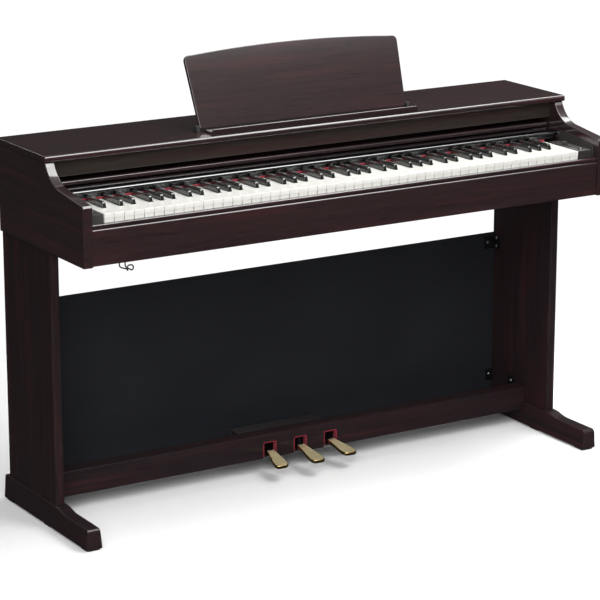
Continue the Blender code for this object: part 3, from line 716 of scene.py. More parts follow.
@dataclass
class Cabinet:
    """The laminated boards round the keyboard."""

    nose: float = 0.0062
    board_edge: float = 0.0010
    arm_edge: float = 0.0022
    arm_slope: tuple[tuple[float, float], ...] = ((-0.211, 0.7562), (-0.097, 0.7705))
    hollow_radius: float = 0.072
    hollow_turn: tuple[float, float] = (7.0, 66.0)

    def top_board(self) -> None:
        """The lid, with a full round nose at its front."""
        low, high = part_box("top_board")
        corners = [
            (low.y, low.z, 0.003), (low.y, high.z, self.nose), (high.y, high.z, 0.0022), (high.y, low.z, 0)
        ]
        rings = carried(fillet(corners, 8), Axis.X, low.x, high.x, 0.0020)
        build("lid", [rings], ROSEWOOD_X, stands_for="top_board")

    def side_panels(self) -> None:
        """Both cheeks: a side view with a sloping arm and a hollow sweep, an arc of even turns."""
        first, last = np.radians(self.hollow_turn)
        (front_y, front_z), (bend_y, bend_z) = self.arm_slope
        turn = np.linspace(first, last, 15)
        sweep_y = bend_y + self.hollow_radius * (np.sin(turn) - math.sin(first))
        sweep_z = bend_z + self.hollow_radius * (math.cos(first) - np.cos(turn))
        for node in ("left_side_panel", "right_side_panel"):
            low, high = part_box(node)
            corners = [
                (front_y, low.z, 0.0030),
                (front_y, front_z - 0.0048, 0.0025),
                (front_y + 0.0042, front_z, 0.0030),
            ]
            corners += [(y, z, 0) for y, z in zip(sweep_y, sweep_z)]
            corners += [(-0.0375, high.z, 0), (high.y, high.z, 0), (high.y, low.z, 0)]
            rings = carried(fillet(corners, 5), Axis.X, low.x, high.x, self.arm_edge)
            build(node + "_board", [rings], ROSEWOOD_Y, stands_for=node)

    def flat_boards(self) -> None:
        """The name board and the back board."""
        # The name board wears the lit copy of the laminate, with a painted reflection in its colour
        for node, finish in (("name_board", NAME_BOARD_PAINTED_REFLECTION), ("back_board", HARDBOARD)):
            low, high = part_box(node)
            build(node + "_board", [slab(low, high, self.board_edge, Axis.X)], finish, stands_for=node)

    def key_slip(self) -> None:
        """The front rail: a flat face under a round bead, a narrow groove, and the batten's own bead."""
        low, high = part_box("key_slip")
        corners = [
            (low.y, low.z, 0.0012), (low.y, 0.7022, 0.0036), (-0.1990, 0.7022, 0.0006), (-0.1962, 0.7024, 0)
        ]
        corners += [
            (-0.1962, 0.7036, 0),
            (-0.1996, 0.7036, 0.0006),
            (-0.1996, high.z, 0.0034),
            (high.y, high.z, 0.0006),
        ]
        corners += [(high.y, low.z, 0.001)]
        rings = carried(fillet(corners, 6), Axis.X, low.x, high.x, 0.0003)
        build("front_rail", [rings], ROSEWOOD_X, stands_for="key_slip")

    def underside(self) -> None:
        """The bottom board, its speaker grilles and the irons that hold the legs."""
        softened("bottom_board", HARDBOARD, 0.0008)
        low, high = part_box("bottom_board")
        for side, word in ((-1, "left"), (1, "right")):
            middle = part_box(word + "_speaker")
            centre = ((middle[0].x + middle[1].x) / 2, (middle[0].y + middle[1].y) / 2, low.z)
            rim = [(0.040, -0.0002), (0.049, -0.0002), (0.051, -0.0012), (0.0505, -0.0024), (0.047, -0.0028)]
            rim += [(0.0445, -0.0020), (0.044, -0.0012), (0.040, -0.0012)]
            ring = turned([*rim, rim[0]], centre, steps=48)
            build(word + "_grille_ring", [ring[:-1]], MOULDED)
            bulge = [
                (0.0441 * math.cos(turn) + 0.0002, -0.0003 - 0.0035 * math.sin(turn))
                for turn in np.linspace(0, 1.5, 8)
            ]
            build(
                word + "_grille_cloth",
                [turned([(0.0443, 0.0009), *bulge], centre, steps=48)],
                CLOTH,
            )
            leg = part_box(word + "_leg")
            inner = min(abs(leg[0].x), abs(leg[1].x))
            for place in (0.0, 0.15):
                ends = sorted((side * (inner - 0.028), side * (inner - GAP)))
                plate = slab(
                    (ends[0], place - 0.015, low.z - 0.0022), (ends[1], place + 0.015, low.z - GAP), 0.0005
                )
                ends = sorted((side * (inner - 0.0025), side * (inner - GAP)))
                wall = slab(
                    (ends[0], place - 0.015, low.z - 0.030), (ends[1], place + 0.015, low.z - GAP), 0.0005
                )
                label = f"{word}_leg_iron_{round(place * 1000)}"
                build(label, [plate, wall], ENAMEL)
                screw(label + "_screw_a", (side * (inner - 0.016), place, low.z - 0.0022), Axis.Z, -1)
                screw(label + "_screw_b", (side * (inner - 0.0025), place, low.z - 0.018), Axis.X, -side)

    def back(self) -> None:
        """The back board's screws, and the plate with the mains inlet and the sockets."""
        low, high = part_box("back_board")
        for column in np.linspace(low.x + 0.03, high.x - 0.03, 6):
            for row in (low.z + 0.010, high.z - 0.012):
                screw(
                    f"back_screw_{round(column * 1000)}_{round(row * 1000)}",
                    (column, high.y, row),
                    Axis.Y,
                    1,
                )
        plate = slab(
            (-0.575, high.y - 0.0002, 0.668), (-0.455, high.y + 0.0011, 0.702), 0.0006, Axis.Y, 0.004
        )
        build("socket_plate", [plate], MOULDED)
        inlet = slab(
            (-0.567, high.y + 0.0008, 0.676), (-0.545, high.y + 0.0014, 0.694), 0.0002, Axis.Y, 0.003
        )
        build("mains_inlet", [inlet], RUBBER)
        for number, place in enumerate((-0.525, -0.505, -0.482)):
            rim = [(0.0052, 0.0006), (0.0052, 0.0014), (0.0036, 0.0014), (0.0034, 0.0009)]
            ring = turned(rim, (place, high.y, 0.685), Axis.Y, 20)
            build(f"back_socket_{number + 1}", [ring], ZINC)

    def build_all(self) -> None:
        """Builds every board."""
        self.top_board()
        self.side_panels()
        self.flat_boards()
        self.key_slip()
        self.underside()
        self.back()


@dataclass
class Keyboard:
    """Eighty-eight keys, each its own shape, on the bodies of their groups."""

    naturals: int = 52
    pitch: float = 0.0236
    gap: float = 0.0006
    slot: float = 0.0122
    shoulder: float = -0.137
    tail_back: float = 0.047
    plate: float = 0.0105
    letters: str = "ABCDEFG"
    groups: tuple[tuple[str, int, int], ...] = (
        ("bass", 0, 8), ("tenor", 9, 22), ("treble", 30, 43), ("top", 44, 51)
    )

    def body(self, index: int, colour: str) -> str:
        """The CAD body of the natural at a place, or of the sharp to its right.

        Args:
            index: the natural's place, from 0 at the bass end.
            colour: white or black.

        Returns:
            The body's name.
        """
        for group, first, last in self.groups:
            if first <= index <= last:
                return f"{group}_{colour}_keys"
        letter = self.letters[index % 7].lower()
        return f"key_{letter}4" if colour == "white" else f"key_{letter}_sharp4"

    def edge(self, index: int) -> float:
        """Left side of a natural's share of the keyboard.

        Args:
            index: the natural's place.

        Returns:
            Its X.
        """
        return (index - self.naturals / 2) * self.pitch

    def sharp(self, index: int) -> float | None:
        """Middle of the sharp to the right of a natural.

        Args:
            index: the natural's place.

        Returns:
            Its X, or None where there is no sharp.
        """
        shift = {"C": -0.0028, "D": 0.0028, "F": -0.0038, "G": 0.0, "A": 0.0038}.get(self.letters[index % 7])
        if shift is None or not 0 <= index < self.naturals - 1:
            return None
        return self.edge(index + 1) + shift

    def natural(self, index: int) -> None:
        """One natural: a top cap with soft edges over a body that is set in all round under it.

        Args:
            index: its place.
        """
        low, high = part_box("key_c4")
        left, right = self.edge(index) + self.gap / 2, self.edge(index + 1) - self.gap / 2
        before, after = self.sharp(index - 1), self.sharp(index)
        tail_left = left if before is None else before + self.slot / 2
        tail_right = right if after is None else after - self.slot / 2

        def outline(inset: float, radius: float) -> Array:
            """Plan view: the head, its shoulders and the tail between the sharps.

            Args:
                inset: how far the head is set in all round.
                radius: radius of its corners.

            Returns:
                The outline, (n, 2).
            """
            corners = [(left + inset, low.y + inset, radius), (right - inset, low.y + inset, radius)]
            if after is not None:
                corners += [(right - inset, self.shoulder, radius), (tail_right, self.shoulder, 0.0004)]
            corners += [(tail_right if after is not None else right - inset, self.tail_back, 0)]
            corners += [(tail_left if before is not None else left + inset, self.tail_back, 0)]
            if before is not None:
                corners += [(tail_left, self.shoulder, 0.0004), (left + inset, self.shoulder, radius)]
            return fillet(corners, 3)

        top = carried(outline(0.0, 0.0012), Axis.Z, high.z - self.plate, high.z, 0.0003, 0.0007)
        under = carried(outline(0.0006, 0.0009), Axis.Z, low.z, high.z - self.plate + 0.0001, 0.0002)
        node = self.body(index, "white")
        build(f"white_key_{index + 1:02d}", [top, under], IVORY, node, stands_for=node)

    def sharp_key(self, index: int, centre: float) -> None:
        """One sharp: rings along its length, each a trapezium with round top corners.

        The front is a straight slope that rolls into the top over a quarter sine, a little narrower at its
        head than at its foot, and the sides lean in evenly from the base to the top.

        Args:
            index: place of the natural to its left.
            centre: X of its middle.
        """
        low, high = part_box("key_c_sharp4")
        front, back = low.y, -0.0565
        base, full = low.z, high.z - low.z
        slope, roll = np.linspace(0, 1, 7), np.linspace(0, 1, 7)[1:]
        along = np.concatenate([front + 0.0052 * slope, front + 0.0052 + 0.0030 * roll, [-0.10, back]])
        lift = np.concatenate([0.04 + 0.82 * slope, 0.86 + 0.14 * np.sin(roll * np.pi / 2), [1.0, 1.0]])
        narrow = np.concatenate([1.10 - 0.24 * slope, 0.86 + 0.06 * roll, [1.0, 1.0]])
        corner = np.linspace(0, np.pi / 2, 5)
        radius = 0.0017
        half_low, half_high = 0.0053, 0.0046
        side_x = np.concatenate([[half_low], half_high - radius + radius * np.cos(corner)])
        side_z = np.concatenate([[0.0], full - radius + radius * np.sin(corner)])
        across = np.concatenate([side_x, -side_x[::-1]])
        rise = np.concatenate([side_z, side_z[::-1]])
        rings = np.empty((len(along), len(across), 3))
        rings[..., 0] = centre + across * narrow[:, None]
        rings[..., 1] = along[:, None]
        rings[..., 2] = base + rise * lift[:, None]
        node = self.body(index, "black")
        stick = slab((centre - 0.005, back - 0.001, base), (centre + 0.005, 0.060, 0.7265), 0.0003)
        build(f"black_key_{index + 1:02d}", [rings, stick], EBONY, node, stands_for=node, crease=50)

    def build_all(self) -> None:
        """Builds the keys, the felt behind them and the frame under them."""
        for index in range(self.naturals):
            self.natural(index)
            centre = self.sharp(index)
            if centre is not None:
                self.sharp_key(index, centre)
        low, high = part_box("key_felt")
        build("felt_strip", [slab(low, high, 0.0008, Axis.X)], FELT, stands_for="key_felt")
        softened("key_frame", PLYWOOD, 0.0012)


@dataclass
class Fascia:
    """The gloss panel behind the keys, the sliding cover and the end blocks with their controls."""

    lip: float = 0.0100
    groove_levels: tuple[float, ...] = (0.0008, 0.0025)
    groove_depth: float = 0.0006
    knob_depth: float = 0.0085

    def control_panel(self) -> None:
        """The gloss strip: a round nose over a fine groove, its top running back to the cover."""
        low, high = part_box("control_panel")
        corners = [
            (-0.052, low.z, 0.0006), (-0.052, 0.7405, 0), (low.y, 0.7413, 0.0015), (low.y, 0.7502, 0.0052)
        ]
        corners += [
            (high.y, high.z, 0.0008), (high.y, 0.7520, 0), (-0.0485, 0.7465, 0.001), (-0.0485, low.z, 0.0004)
        ]
        rings = carried(fillet(corners, 8), Axis.X, low.x, high.x, 0.0003)
        build("gloss_strip", [rings], POLISHED, stands_for="control_panel")

    def key_cover(self) -> None:
        """The sliding lid: a lip with two fine grooves, and a thin board that slopes up behind it."""
        low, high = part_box("key_cover")
        lip = low.z + self.lip
        deep = low.y + self.groove_depth
        grooves = []
        for level in self.groove_levels:
            foot = low.z + level
            grooves += [
                (low.y, foot, 0),
                (deep, foot + 0.0002, 0),
                (deep, foot + 0.0007, 0),
                (low.y, foot + 0.0009, 0),
            ]
        corners = [(low.y, low.z, 0.0002), *grooves, (low.y, lip, 0.0058), (low.y + 0.0072, lip, 0.0010)]
        corners += [
            (low.y + 0.0082, low.z + 0.0061, 0), (high.y, high.z, 0.0006), (high.y, high.z - 0.005, 0.0006)
        ]
        rings = carried(fillet(corners, 6), Axis.X, low.x, high.x, 0.0002)
        build("sliding_cover", [rings], ROSEWOOD_X, "key_cover", stands_for="key_cover")

    def controls(self) -> None:
        """The end blocks, their four square buttons, the power button and the ribbed volume knob."""
        softened("left_end_block", MOULDED, 0.0007)
        softened("right_end_block", MOULDED, 0.0007)
        for node in ("demo_button", "voice_button", "metronome_button", "record_button"):
            low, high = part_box(node)
            build(node + "_cap", [slab(low, high, 0.0007, Axis.Z, 0.0014)], POLISHED, node, stands_for=node)
        low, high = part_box("power_button")
        radius = (high.x - low.x) / 2
        centre = ((low.x + high.x) / 2, (low.y + high.y) / 2, low.z)
        height = high.z - low.z
        profile = [
            (radius - 0.0003, 0),
            (radius, 0.0003),
            (radius, height - 0.0010),
            (radius - 0.0006, height - 0.0003),
        ]
        profile += [
            (radius - 0.0014, height), (radius - 0.0022, height - 0.0001), (radius - 0.0030, height - 0.0006)
        ]
        build("power_cap", [turned(profile, centre)], POLISHED, "power_button", stands_for="power_button")
        self.volume_knob()

    def volume_knob(self) -> None:
        """The knob: a wedge whose top rises and falls as a cosine to make five finger ribs, and its stem."""
        low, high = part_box("volume_slider")
        base = high.z - self.knob_depth
        along = np.linspace(low.y + 0.0012, high.y - 0.0012, 41)
        ribs = high.z - 0.0003 - 0.0003 * np.cos((along - low.y) / (high.y - low.y) * 10 * np.pi)
        outline = np.concatenate([[(low.y, base), (high.y, base)], np.stack([along, ribs], 1)[::-1]])
        knob = carried(anticlockwise(outline), Axis.X, low.x, high.x, 0.0006)
        middle = (low.x + high.x) / 2
        centre = (low.y + high.y) / 2
        stem = slab(
            (middle - 0.0011, centre - 0.0028, low.z),
            (middle + 0.0011, centre + 0.0028, base + 0.001),
            0.0002,
        )
        build("volume_knob", [knob, stem], MOULDED, "volume_slider", stands_for="volume_slider")

    def build_all(self) -> None:
        """Builds the strip, the cover and the controls."""
        self.control_panel()
        self.key_cover()
        self.controls()


@dataclass
class MusicRest:
    """The folding panel, its ledge, hinges and wire props."""

    lean: float = 20.0
    hinge: tuple[float, float] = (0.0245, 0.8402)
    half_low: float = 0.270
    half_high: float = 0.279
    side: float = 0.1595
    height: float = 0.171
    corner: float = 0.012
    front: float = 0.005
    back: float = 0.004
    prop: tuple[float, float, float] = (0.078, 0.085, 23.0)
    lip_half: float = 0.2685

    def leaning(self, rings: Array) -> Array:
        """Sets rings drawn as (x, along the panel, out from it) upright on the hinge at the panel's lean.

        Args:
            rings: (m, n, 3), in the panel's own directions.

        Returns:
            The rings in the row frame.
        """
        angle = math.radians(self.lean)
        x, along, out = np.moveaxis(rings, -1, 0)
        y = self.hinge[0] + along * math.sin(angle) - out * math.cos(angle)
        z = self.hinge[1] + along * math.cos(angle) + out * math.sin(angle)
        return np.stack([x, y, z], -1)

    def panel(self) -> None:
        """The panel: straight sides that spread upwards and a top edge bowed as a parabola."""
        reach = self.half_high - self.corner
        across = np.linspace(reach, -reach, 41)[1:-1]
        bow = self.side + (self.height - self.side) * (1 - (across / reach) ** 2)
        corners = [(-self.half_low, -0.004, 0.003), (self.half_low, -0.004, 0.003)]
        corners += [(self.half_high, self.side, self.corner)]
        corners += [(x, z, 0) for x, z in zip(across, bow)]
        corners += [(-self.half_high, self.side, self.corner)]
        rings = carried(fillet(corners, 7), Axis.Z, -self.back, self.front, 0.0016)
        build("rest_panel", [self.leaning(rings)], ROSEWOOD_X, "music_rest", stands_for="music_rest")

    def ledge(self) -> None:
        """The lip that holds the music, round at its upper corners, and the shelf behind it."""
        low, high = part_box("music_ledge")
        half = self.lip_half
        corners = [(-half, low.z, 0), (half, low.z, 0), (half, high.z, 0.0045), (-half, high.z, 0.0045)]
        lip = carried(fillet(corners, 6), Axis.Y, low.y, low.y + 0.0046, 0.0015)
        shelf = slab(
            (low.x + 0.005, low.y + 0.003, low.z), (high.x - 0.005, high.y, low.z + 0.0047), 0.0008, Axis.X
        )
        build("rest_ledge", [lip, shelf], ROSEWOOD_X, stands_for="music_ledge")

    def hinges(self) -> None:
        """Two end hinges, each a rubber post standing on the lid and a barrel on the panel's axis."""
        y, z = self.hinge
        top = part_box("top_board")[1].z
        for side, word in ((-1, "left"), (1, "right")):
            ends = sorted((side * 0.2712, side * 0.2805))
            post = fillet(
                [
                    (y - 0.009, top + GAP, 0),
                    (y + 0.009, top + GAP, 0),
                    (y + 0.005, z + 0.0048, 0.004),
                    (y - 0.005, z + 0.0048, 0.004),
                ]
            )
            build(word + "_rest_hinge", [carried(post, Axis.X, *ends, 0.0006)], RUBBER)
            pin = turned(
                [(0.0022, 0), (0.0022, 0.0006)],
                (side * 0.2705 - (0.0006 if side < 0 else 0), y, z),
                Axis.X,
                16,
            )
            build(word + "_rest_pin", [pin], ZINC)

    def props(self) -> None:
        """The wire props: a U of round wire that hangs on the panel's back, its bends rounded."""
        at, length, lean = self.prop
        radius = 0.0013
        y, z = self.leaning(np.array([[[0, at, -self.back - radius - GAP]]]))[0, 0, 1:]
        slope = math.radians(lean)
        foot_y, foot_z = y + length * math.sin(slope), z - length * math.cos(slope)
        for side, word in ((-1, "left"), (1, "right")):
            node = word + "_rest_prop"
            middle = side * 0.15
            near = (foot_y + (y - foot_y) * 0.06, foot_z + (z - foot_z) * 0.06)
            route = [(middle - 0.018, y, z), (middle - 0.0095, *near), (middle - 0.006, foot_y, foot_z)]
            route += [(2 * middle - x, py, pz) for x, py, pz in reversed(route)]
            build(node + "_wire", [tube(smooth_path(route, 8), radius)], ENAMEL, node, stands_for=node)
            eyes = [
                turned(
                    [(0.0032, -0.003), (0.0032, 0.003)], (middle + end, 0, 0), Axis.X, 16
                ) for end in (-0.0215, 0.0215)
            ]
            for eye in eyes:
                eye[..., 1:] *= 0.55
                eye[..., 1] += at
                eye[..., 2] -= self.back + 0.0012
            build(
                word + "_prop_eyes",
                [self.leaning(eye) for eye in eyes],
                ENAMEL,
                "music_rest",
            )

    def build_all(self) -> None:
        """Builds the rest."""
        self.panel()
        self.ledge()
        self.hinges()
        self.props()


@dataclass
class Fittings:
    """What hangs under the cabinet, and the speakers inside it."""

    hook_x: float = -0.5555
    leg: float = 0.0068
    wire: float = 0.0015

    def hook(self) -> None:
        """The headphone hook: down a leg, forward along the arm, round an upturned ring and back."""
        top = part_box("headphone_hook")[1].z
        x, away = self.hook_x, self.leg
        half = [(x - away, -0.150, top), (x - away, -0.150, 0.6055), (x - away + 0.0007, -0.153, 0.6018)]
        half += [(x - away + 0.0014, -0.158, 0.6012), (x - 0.0028, -0.176, 0.6020)]
        turn = np.radians([235, 205, 175, 145, 115])
        ring = zip(
            x + 0.0075 * np.cos(turn),
            [-0.183, -0.1855, -0.186, -0.186, -0.186],
            0.6065 + 0.0068 * np.sin(turn),
        )
        half += list(ring)
        route = half + [(2 * x - px, py, pz) for px, py, pz in reversed(half)]
        rings = tube(smooth_path(route, 5), self.wire)
        build("hook_wire", [rings], ENAMEL, stands_for="headphone_hook", crease=60)

    def jacks(self) -> None:
        """The jack box with a metal rim round each socket."""
        softened("jack_box", MOULDED, 0.0015)
        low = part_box("jack_box")[0]
        for number, place in enumerate((-0.550, -0.520)):
            rim = [
                (0.0056, 0.0002), (0.0056, -0.0008), (0.0050, -0.0014), (0.0040, -0.0014), (0.0035, -0.0006)
            ]
            ring = turned(rim, (place, low.y, 0.610), Axis.Y, 24)
            build(f"jack_rim_{number + 1}", [ring], ZINC)
            hole = turned([(0.0034, -0.0009), (0.0034, -0.0016)], (place, low.y, 0.610), Axis.Y, 20)
            build(f"jack_hole_{number + 1}", [hole], RUBBER)

    def speakers(self) -> None:
        """Each speaker: a pressed frame with a flat flange, a cone below it and the magnet on top."""
        for word in ("left", "right"):
            low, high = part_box(word + "_speaker")
            centre = ((low.x + high.x) / 2, (low.y + high.y) / 2, low.z)
            profile = [
                (0.004, 0.012), (0.018, 0.010), (0.040, 0.001), (0.044, 0.0), (0.054, 0.0), (0.054, 0.003)
            ]
            profile += [
                (0.047, 0.004),
                (0.040, 0.010),
                (0.030, 0.018),
                (0.028, 0.0195),
                (0.028, 0.031),
                (0.004, 0.031),
            ]
            build(
                word + "_speaker_unit",
                [turned(profile, centre, steps=48)],
                PAPER,
                stands_for=word + "_speaker",
            )

    def build_all(self) -> None:
        """Builds the fittings."""
        self.hook()
        self.jacks()
        self.speakers()


@dataclass
class Stand:
    """Legs, feet, rear panel and the irons that join them."""

    leg_round: float = 0.0045
    foot_low: tuple[float, float] = (0.6396, 0.6785)
    foot_high: tuple[float, float] = (0.6455, 0.6748)
    notch_half: float = 0.6434
    notch_top: float = 0.0575

    def legs(self) -> None:
        """Each leg: a board on end with a round front edge."""
        for side, word in ((-1, "left"), (1, "right")):
            low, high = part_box(word + "_leg")
            corners = [(low.x, low.y, self.leg_round), (high.x, low.y, self.leg_round)]
            corners += [(high.x, high.y, 0.001), (low.x, high.y, 0.001)]
            rings = carried(fillet(corners, 6), Axis.Z, low.z, high.z, 0.0004)
            build(word + "_leg_board", [rings], STAND_Z, stands_for=word + "_leg")

    def feet(self) -> None:
        """Each foot: a side view with a cosine dip in front of the leg, narrower upwards, on three pads."""
        low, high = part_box("right_foot")
        share = np.linspace(0, 1, 17)
        dip_y = -0.0446 + (-0.092 + 0.0446) * share
        dip_z = high.z - 0.0075 * (1 - np.cos(np.pi * share)) / 2
        corners = [(low.y, 0.0034, 0.003), (high.y, 0.0034, 0.003), (high.y, high.z, 0.0035)]
        corners += [(y, z, 0) for y, z in zip(dip_y, dip_z)]
        corners += [(low.y, dip_z[-1] - 0.0002, 0.009)]
        outline = fillet(corners, 7)
        for side, word in ((-1, "left"), (1, "right")):
            rings = carried(outline, Axis.X, 0.0, 0.0390, 0.0022)
            across = rings[..., 0] / 0.0390
            rise = rings[..., 2] / high.z
            inner = self.foot_low[0] + (self.foot_high[0] - self.foot_low[0]) * rise
            outer = self.foot_low[1] + (self.foot_high[1] - self.foot_low[1]) * rise
            rings[..., 0] = side * (inner + (outer - inner) * across)
            build(word + "_foot_board", [rings], STAND_Y, stands_for=word + "_foot")
            ends = sorted((side * (self.foot_low[0] + 0.003), side * (self.foot_low[1] - 0.003)))
            pads = ((low.y + 0.004, -0.161), (-0.019, 0.019), (0.166, high.y - 0.004))
            rows = [
                slab((ends[0], near, 0.0), (ends[1], far, 0.0037), 0.0008, Axis.Z, 0.006)
                for near, far in pads
            ]
            build(word + "_foot_pads", rows, RUBBER)

    def rear_panel(self) -> None:
        """The thin panel between the legs, cut away at its lower corners to clear the feet."""
        low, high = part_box("rear_panel")
        narrow, step = self.notch_half, self.notch_top
        corners = [(-narrow, low.z, 0), (narrow, low.z, 0), (narrow, step, 0), (high.x, step, 0)]
        corners += [(high.x, high.z, 0), (low.x, high.z, 0), (low.x, step, 0), (-narrow, step, 0)]
        rings = carried(fillet(corners), Axis.Y, low.y, high.y, 0.0005)
        build("rear_board", [rings], BLACK_BOARD, stands_for="rear_panel")

    def irons(self) -> None:
        """Corner irons: an upper and a lower L of plate on each side, with their screws."""
        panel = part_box("rear_panel")[0].y
        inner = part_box("right_leg")[0].x
        for side, word in ((-1, "left"), (1, "right")):
            face = side * (inner - GAP)
            ends = sorted((face, side * (inner - 0.0305)))
            plate = slab(
                (ends[0], panel - 0.0020, 0.416), (ends[1], panel - GAP, 0.451), 0.0004, Axis.Y, 0.003
            )
            ends = sorted((face, side * (inner - 0.0022)))
            wall = slab(
                (ends[0], panel - 0.024, 0.416), (ends[1], panel - GAP, 0.451), 0.0004, Axis.X, 0.003
            )
            build(word + "_upper_iron", [plate, wall], ENAMEL)
            screw(word + "_upper_screw_a", (side * 0.6285, panel - 0.0020, 0.433), Axis.Y, -1, ZINC)
            screw(word + "_upper_screw_b", (side * (inner - 0.0022), 0.1765, 0.444), Axis.X, -side, ZINC)
            screw(word + "_upper_screw_c", (side * (inner - 0.0022), 0.1765, 0.424), Axis.X, -side, ZINC)
            wall = slab((ends[0], 0.0895, 0.066), (ends[1], 0.120, 0.110), 0.0004, Axis.X, 0.003)
            build(word + "_lower_iron", [wall], ENAMEL)
            screw(word + "_lower_screw_a", (side * (inner - 0.0022), 0.105, 0.097), Axis.X, -side, ZINC)
            ends = sorted((side * (inner - 0.002), side * (inner - 0.020)))
            plate = slab(
                (ends[0], panel - 0.0020, 0.078), (ends[1], panel - GAP, 0.108), 0.0004, Axis.Y, 0.003
            )
            build(word + "_lower_plate", [plate], ENAMEL)
            screw(word + "_lower_screw_b", (side * 0.6395, panel - 0.0020, 0.094), Axis.Y, -1, ZINC)

    def build_all(self) -> None:
        """Builds the stand."""
        self.legs()
        self.feet()
        self.rear_panel()
        self.irons()


@dataclass
class PedalUnit:
    """The rail with its felted notches, the pedals, and the plate that they turn on."""

    middle: float = 0.0045
    pitch: float = 0.0825
    notch: float = 0.0355
    notch_top: float = 0.0775
    felt: float = 0.0018
    wall: float = 0.012
    root: float = 0.0100
    wide: float = 0.0178
    thick: float = 0.008
    nose: float = 0.014
    splay: float = 0.0085
    tips: tuple[tuple[str, int, float], ...] = (
        ("soft_pedal", -1, -0.029),
        ("sostenuto_pedal", 0, -0.038),
        ("damper_pedal", 1, -0.029),
    )

    def rail(self) -> None:
        """The rail: its front, cut by three notches from below, and the board on top of it."""
        low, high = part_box("pedal_rail")
        step = 0.6434
        corners = [(high.x, high.z, 0.0018), (low.x, high.z, 0.0018), (low.x, 0.0577, 0), (-step, 0.0577, 0)]
        corners += [(-step, low.z, 0)]
        for place in (-1, 0, 1):
            left = self.middle + place * self.pitch - self.notch / 2
            right = left + self.notch
            corners += [(left, low.z, 0), (left, self.notch_top, 0.003)]
            corners += [(right, self.notch_top, 0.003), (right, low.z, 0)]
        corners += [(step, low.z, 0), (step, 0.0577, 0), (high.x, 0.0577, 0)]
        front = carried(fillet(corners, 3), Axis.Y, low.y, low.y + self.wall, 0.0010, 0.0003)
        top = slab(
            (low.x + 0.0002, low.y + 0.006, high.z - self.wall),
            (high.x - 0.0002, high.y, high.z - 0.0001),
            0.001,
            Axis.X,
        )
        build("pedal_rail_board", [front, top], STAND_X, stands_for="pedal_rail")

    def felts(self) -> None:
        """The felt round each notch: a U with an even wall, standing half a millimetre proud."""
        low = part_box("pedal_rail")[0]
        for (_, place, _), word in zip(self.tips, ("left", "middle", "right")):
            centre = self.middle + place * self.pitch
            half = self.notch / 2 - GAP
            top = self.notch_top - GAP
            thin = self.felt
            corners = [
                (centre - half, low.z + 0.004, 0.0008),
                (centre - half, top, 0.0028),
                (centre + half, top, 0.0028),
            ]
            corners += [
                (centre + half, low.z + 0.004, 0.0008), (centre + half - thin, low.z + 0.004, 0.0008)
            ]
            corners += [
                (centre + half - thin, top - thin, 0.0012), (centre - half + thin, top - thin, 0.0012)
            ]
            corners += [(centre - half + thin, low.z + 0.004, 0.0008)]
            rings = carried(fillet(corners, 3), Axis.Y, low.y - 0.0007, low.y + self.wall + 0.001, 0.0006)
            build(word + "_notch_felt", [rings], FELT)

    def top_height(self, y: Array, tip: float) -> Array:
        """Height of a pedal's top: level inside the rail, then straight down to its tip.

        The two lines are joined by a hyperbola, half of the root of the distance squared plus 6 mm squared.

        Args:
            y: places along the pedal.
            tip: Y of its tip.

        Returns:
            The heights.
        """
        bend, root, end = 0.062, 0.0605, 0.0430
        slope = (root - end) / (bend - tip)
        return root - slope * (np.sqrt((bend - y) ** 2 + 0.006**2) + (bend - y)) / 2

    def plan(self, place: int, tip: float, inset: float) -> Array:
        """Plan view of a tread: its sides widen by a smooth step, then close as a superellipse at the tip.

        Args:
            place: -1, 0 or 1, the tread's place in the row.
            tip: Y of its tip.
            inset: how far the outline is set in all round.

        Returns:
            The outline, (n, 2), anticlockwise.
        """
        straight = tip + self.nose
        share = np.linspace(0, 1, 19)
        ease = share * share * (3 - 2 * share)
        turn = np.radians(np.linspace(8, 88, 11))
        ys = np.concatenate(
            [0.045 + (straight - 0.045) * share, straight - (self.nose - inset) * np.sin(turn)]
        )
        halves = np.concatenate(
            [self.root + (self.wide - self.root) * ease, self.wide * np.cos(turn) ** 0.42]
        )
        halves -= inset * np.minimum(1, halves / self.wide)
        centre = self.middle + place * self.pitch
        centre = centre + self.splay * place * np.clip((0.048 - ys) / (0.048 - straight), 0, 1.3)
        return anticlockwise(
            np.concatenate([np.stack([centre - halves, ys], 1), np.stack([centre + halves, ys], 1)[::-1]])
        )

    def pedals(self) -> None:
        """Each pedal: a brass tread with a satin face and a bright rim, on a black arm with its eye."""
        axle_y, axle_z = 0.155, 0.056
        for name, place, tip in self.tips:
            rim = carried(self.plan(place, tip, 0.0), Axis.Z, -self.thick, -0.0002, 0.0022, 0.0014)
            rim[..., 2] += self.top_height(rim[..., 1], tip)
            build(name + "_rim", [rim], BRASS_RIM, name, stands_for=name, crease=40)
            tread = carried(self.plan(place, tip, 0.0018), Axis.Z, -0.0014, 0.0, 0.0002)
            tread[..., 2] += self.top_height(tread[..., 1], tip)
            build(name + "_tread", [tread], BRASS, name, crease=40)
            middle = self.middle + place * self.pitch
            half = self.root - 0.0012
            arm = slab((middle - half, 0.020, -self.thick + 0.0003), (middle + half, 0.151, -0.0046), 0.0006)
            arm[..., 2] += self.top_height(arm[..., 1], tip)
            profile = [(0.0071, -0.0084), (0.0074, -0.0081), (0.0074, 0.0081), (0.0071, 0.0084)]
            eye = turned(profile, (middle, axle_y, axle_z), Axis.X)
            build(name + "_arm", [arm, eye], ENAMEL, name, crease=40)

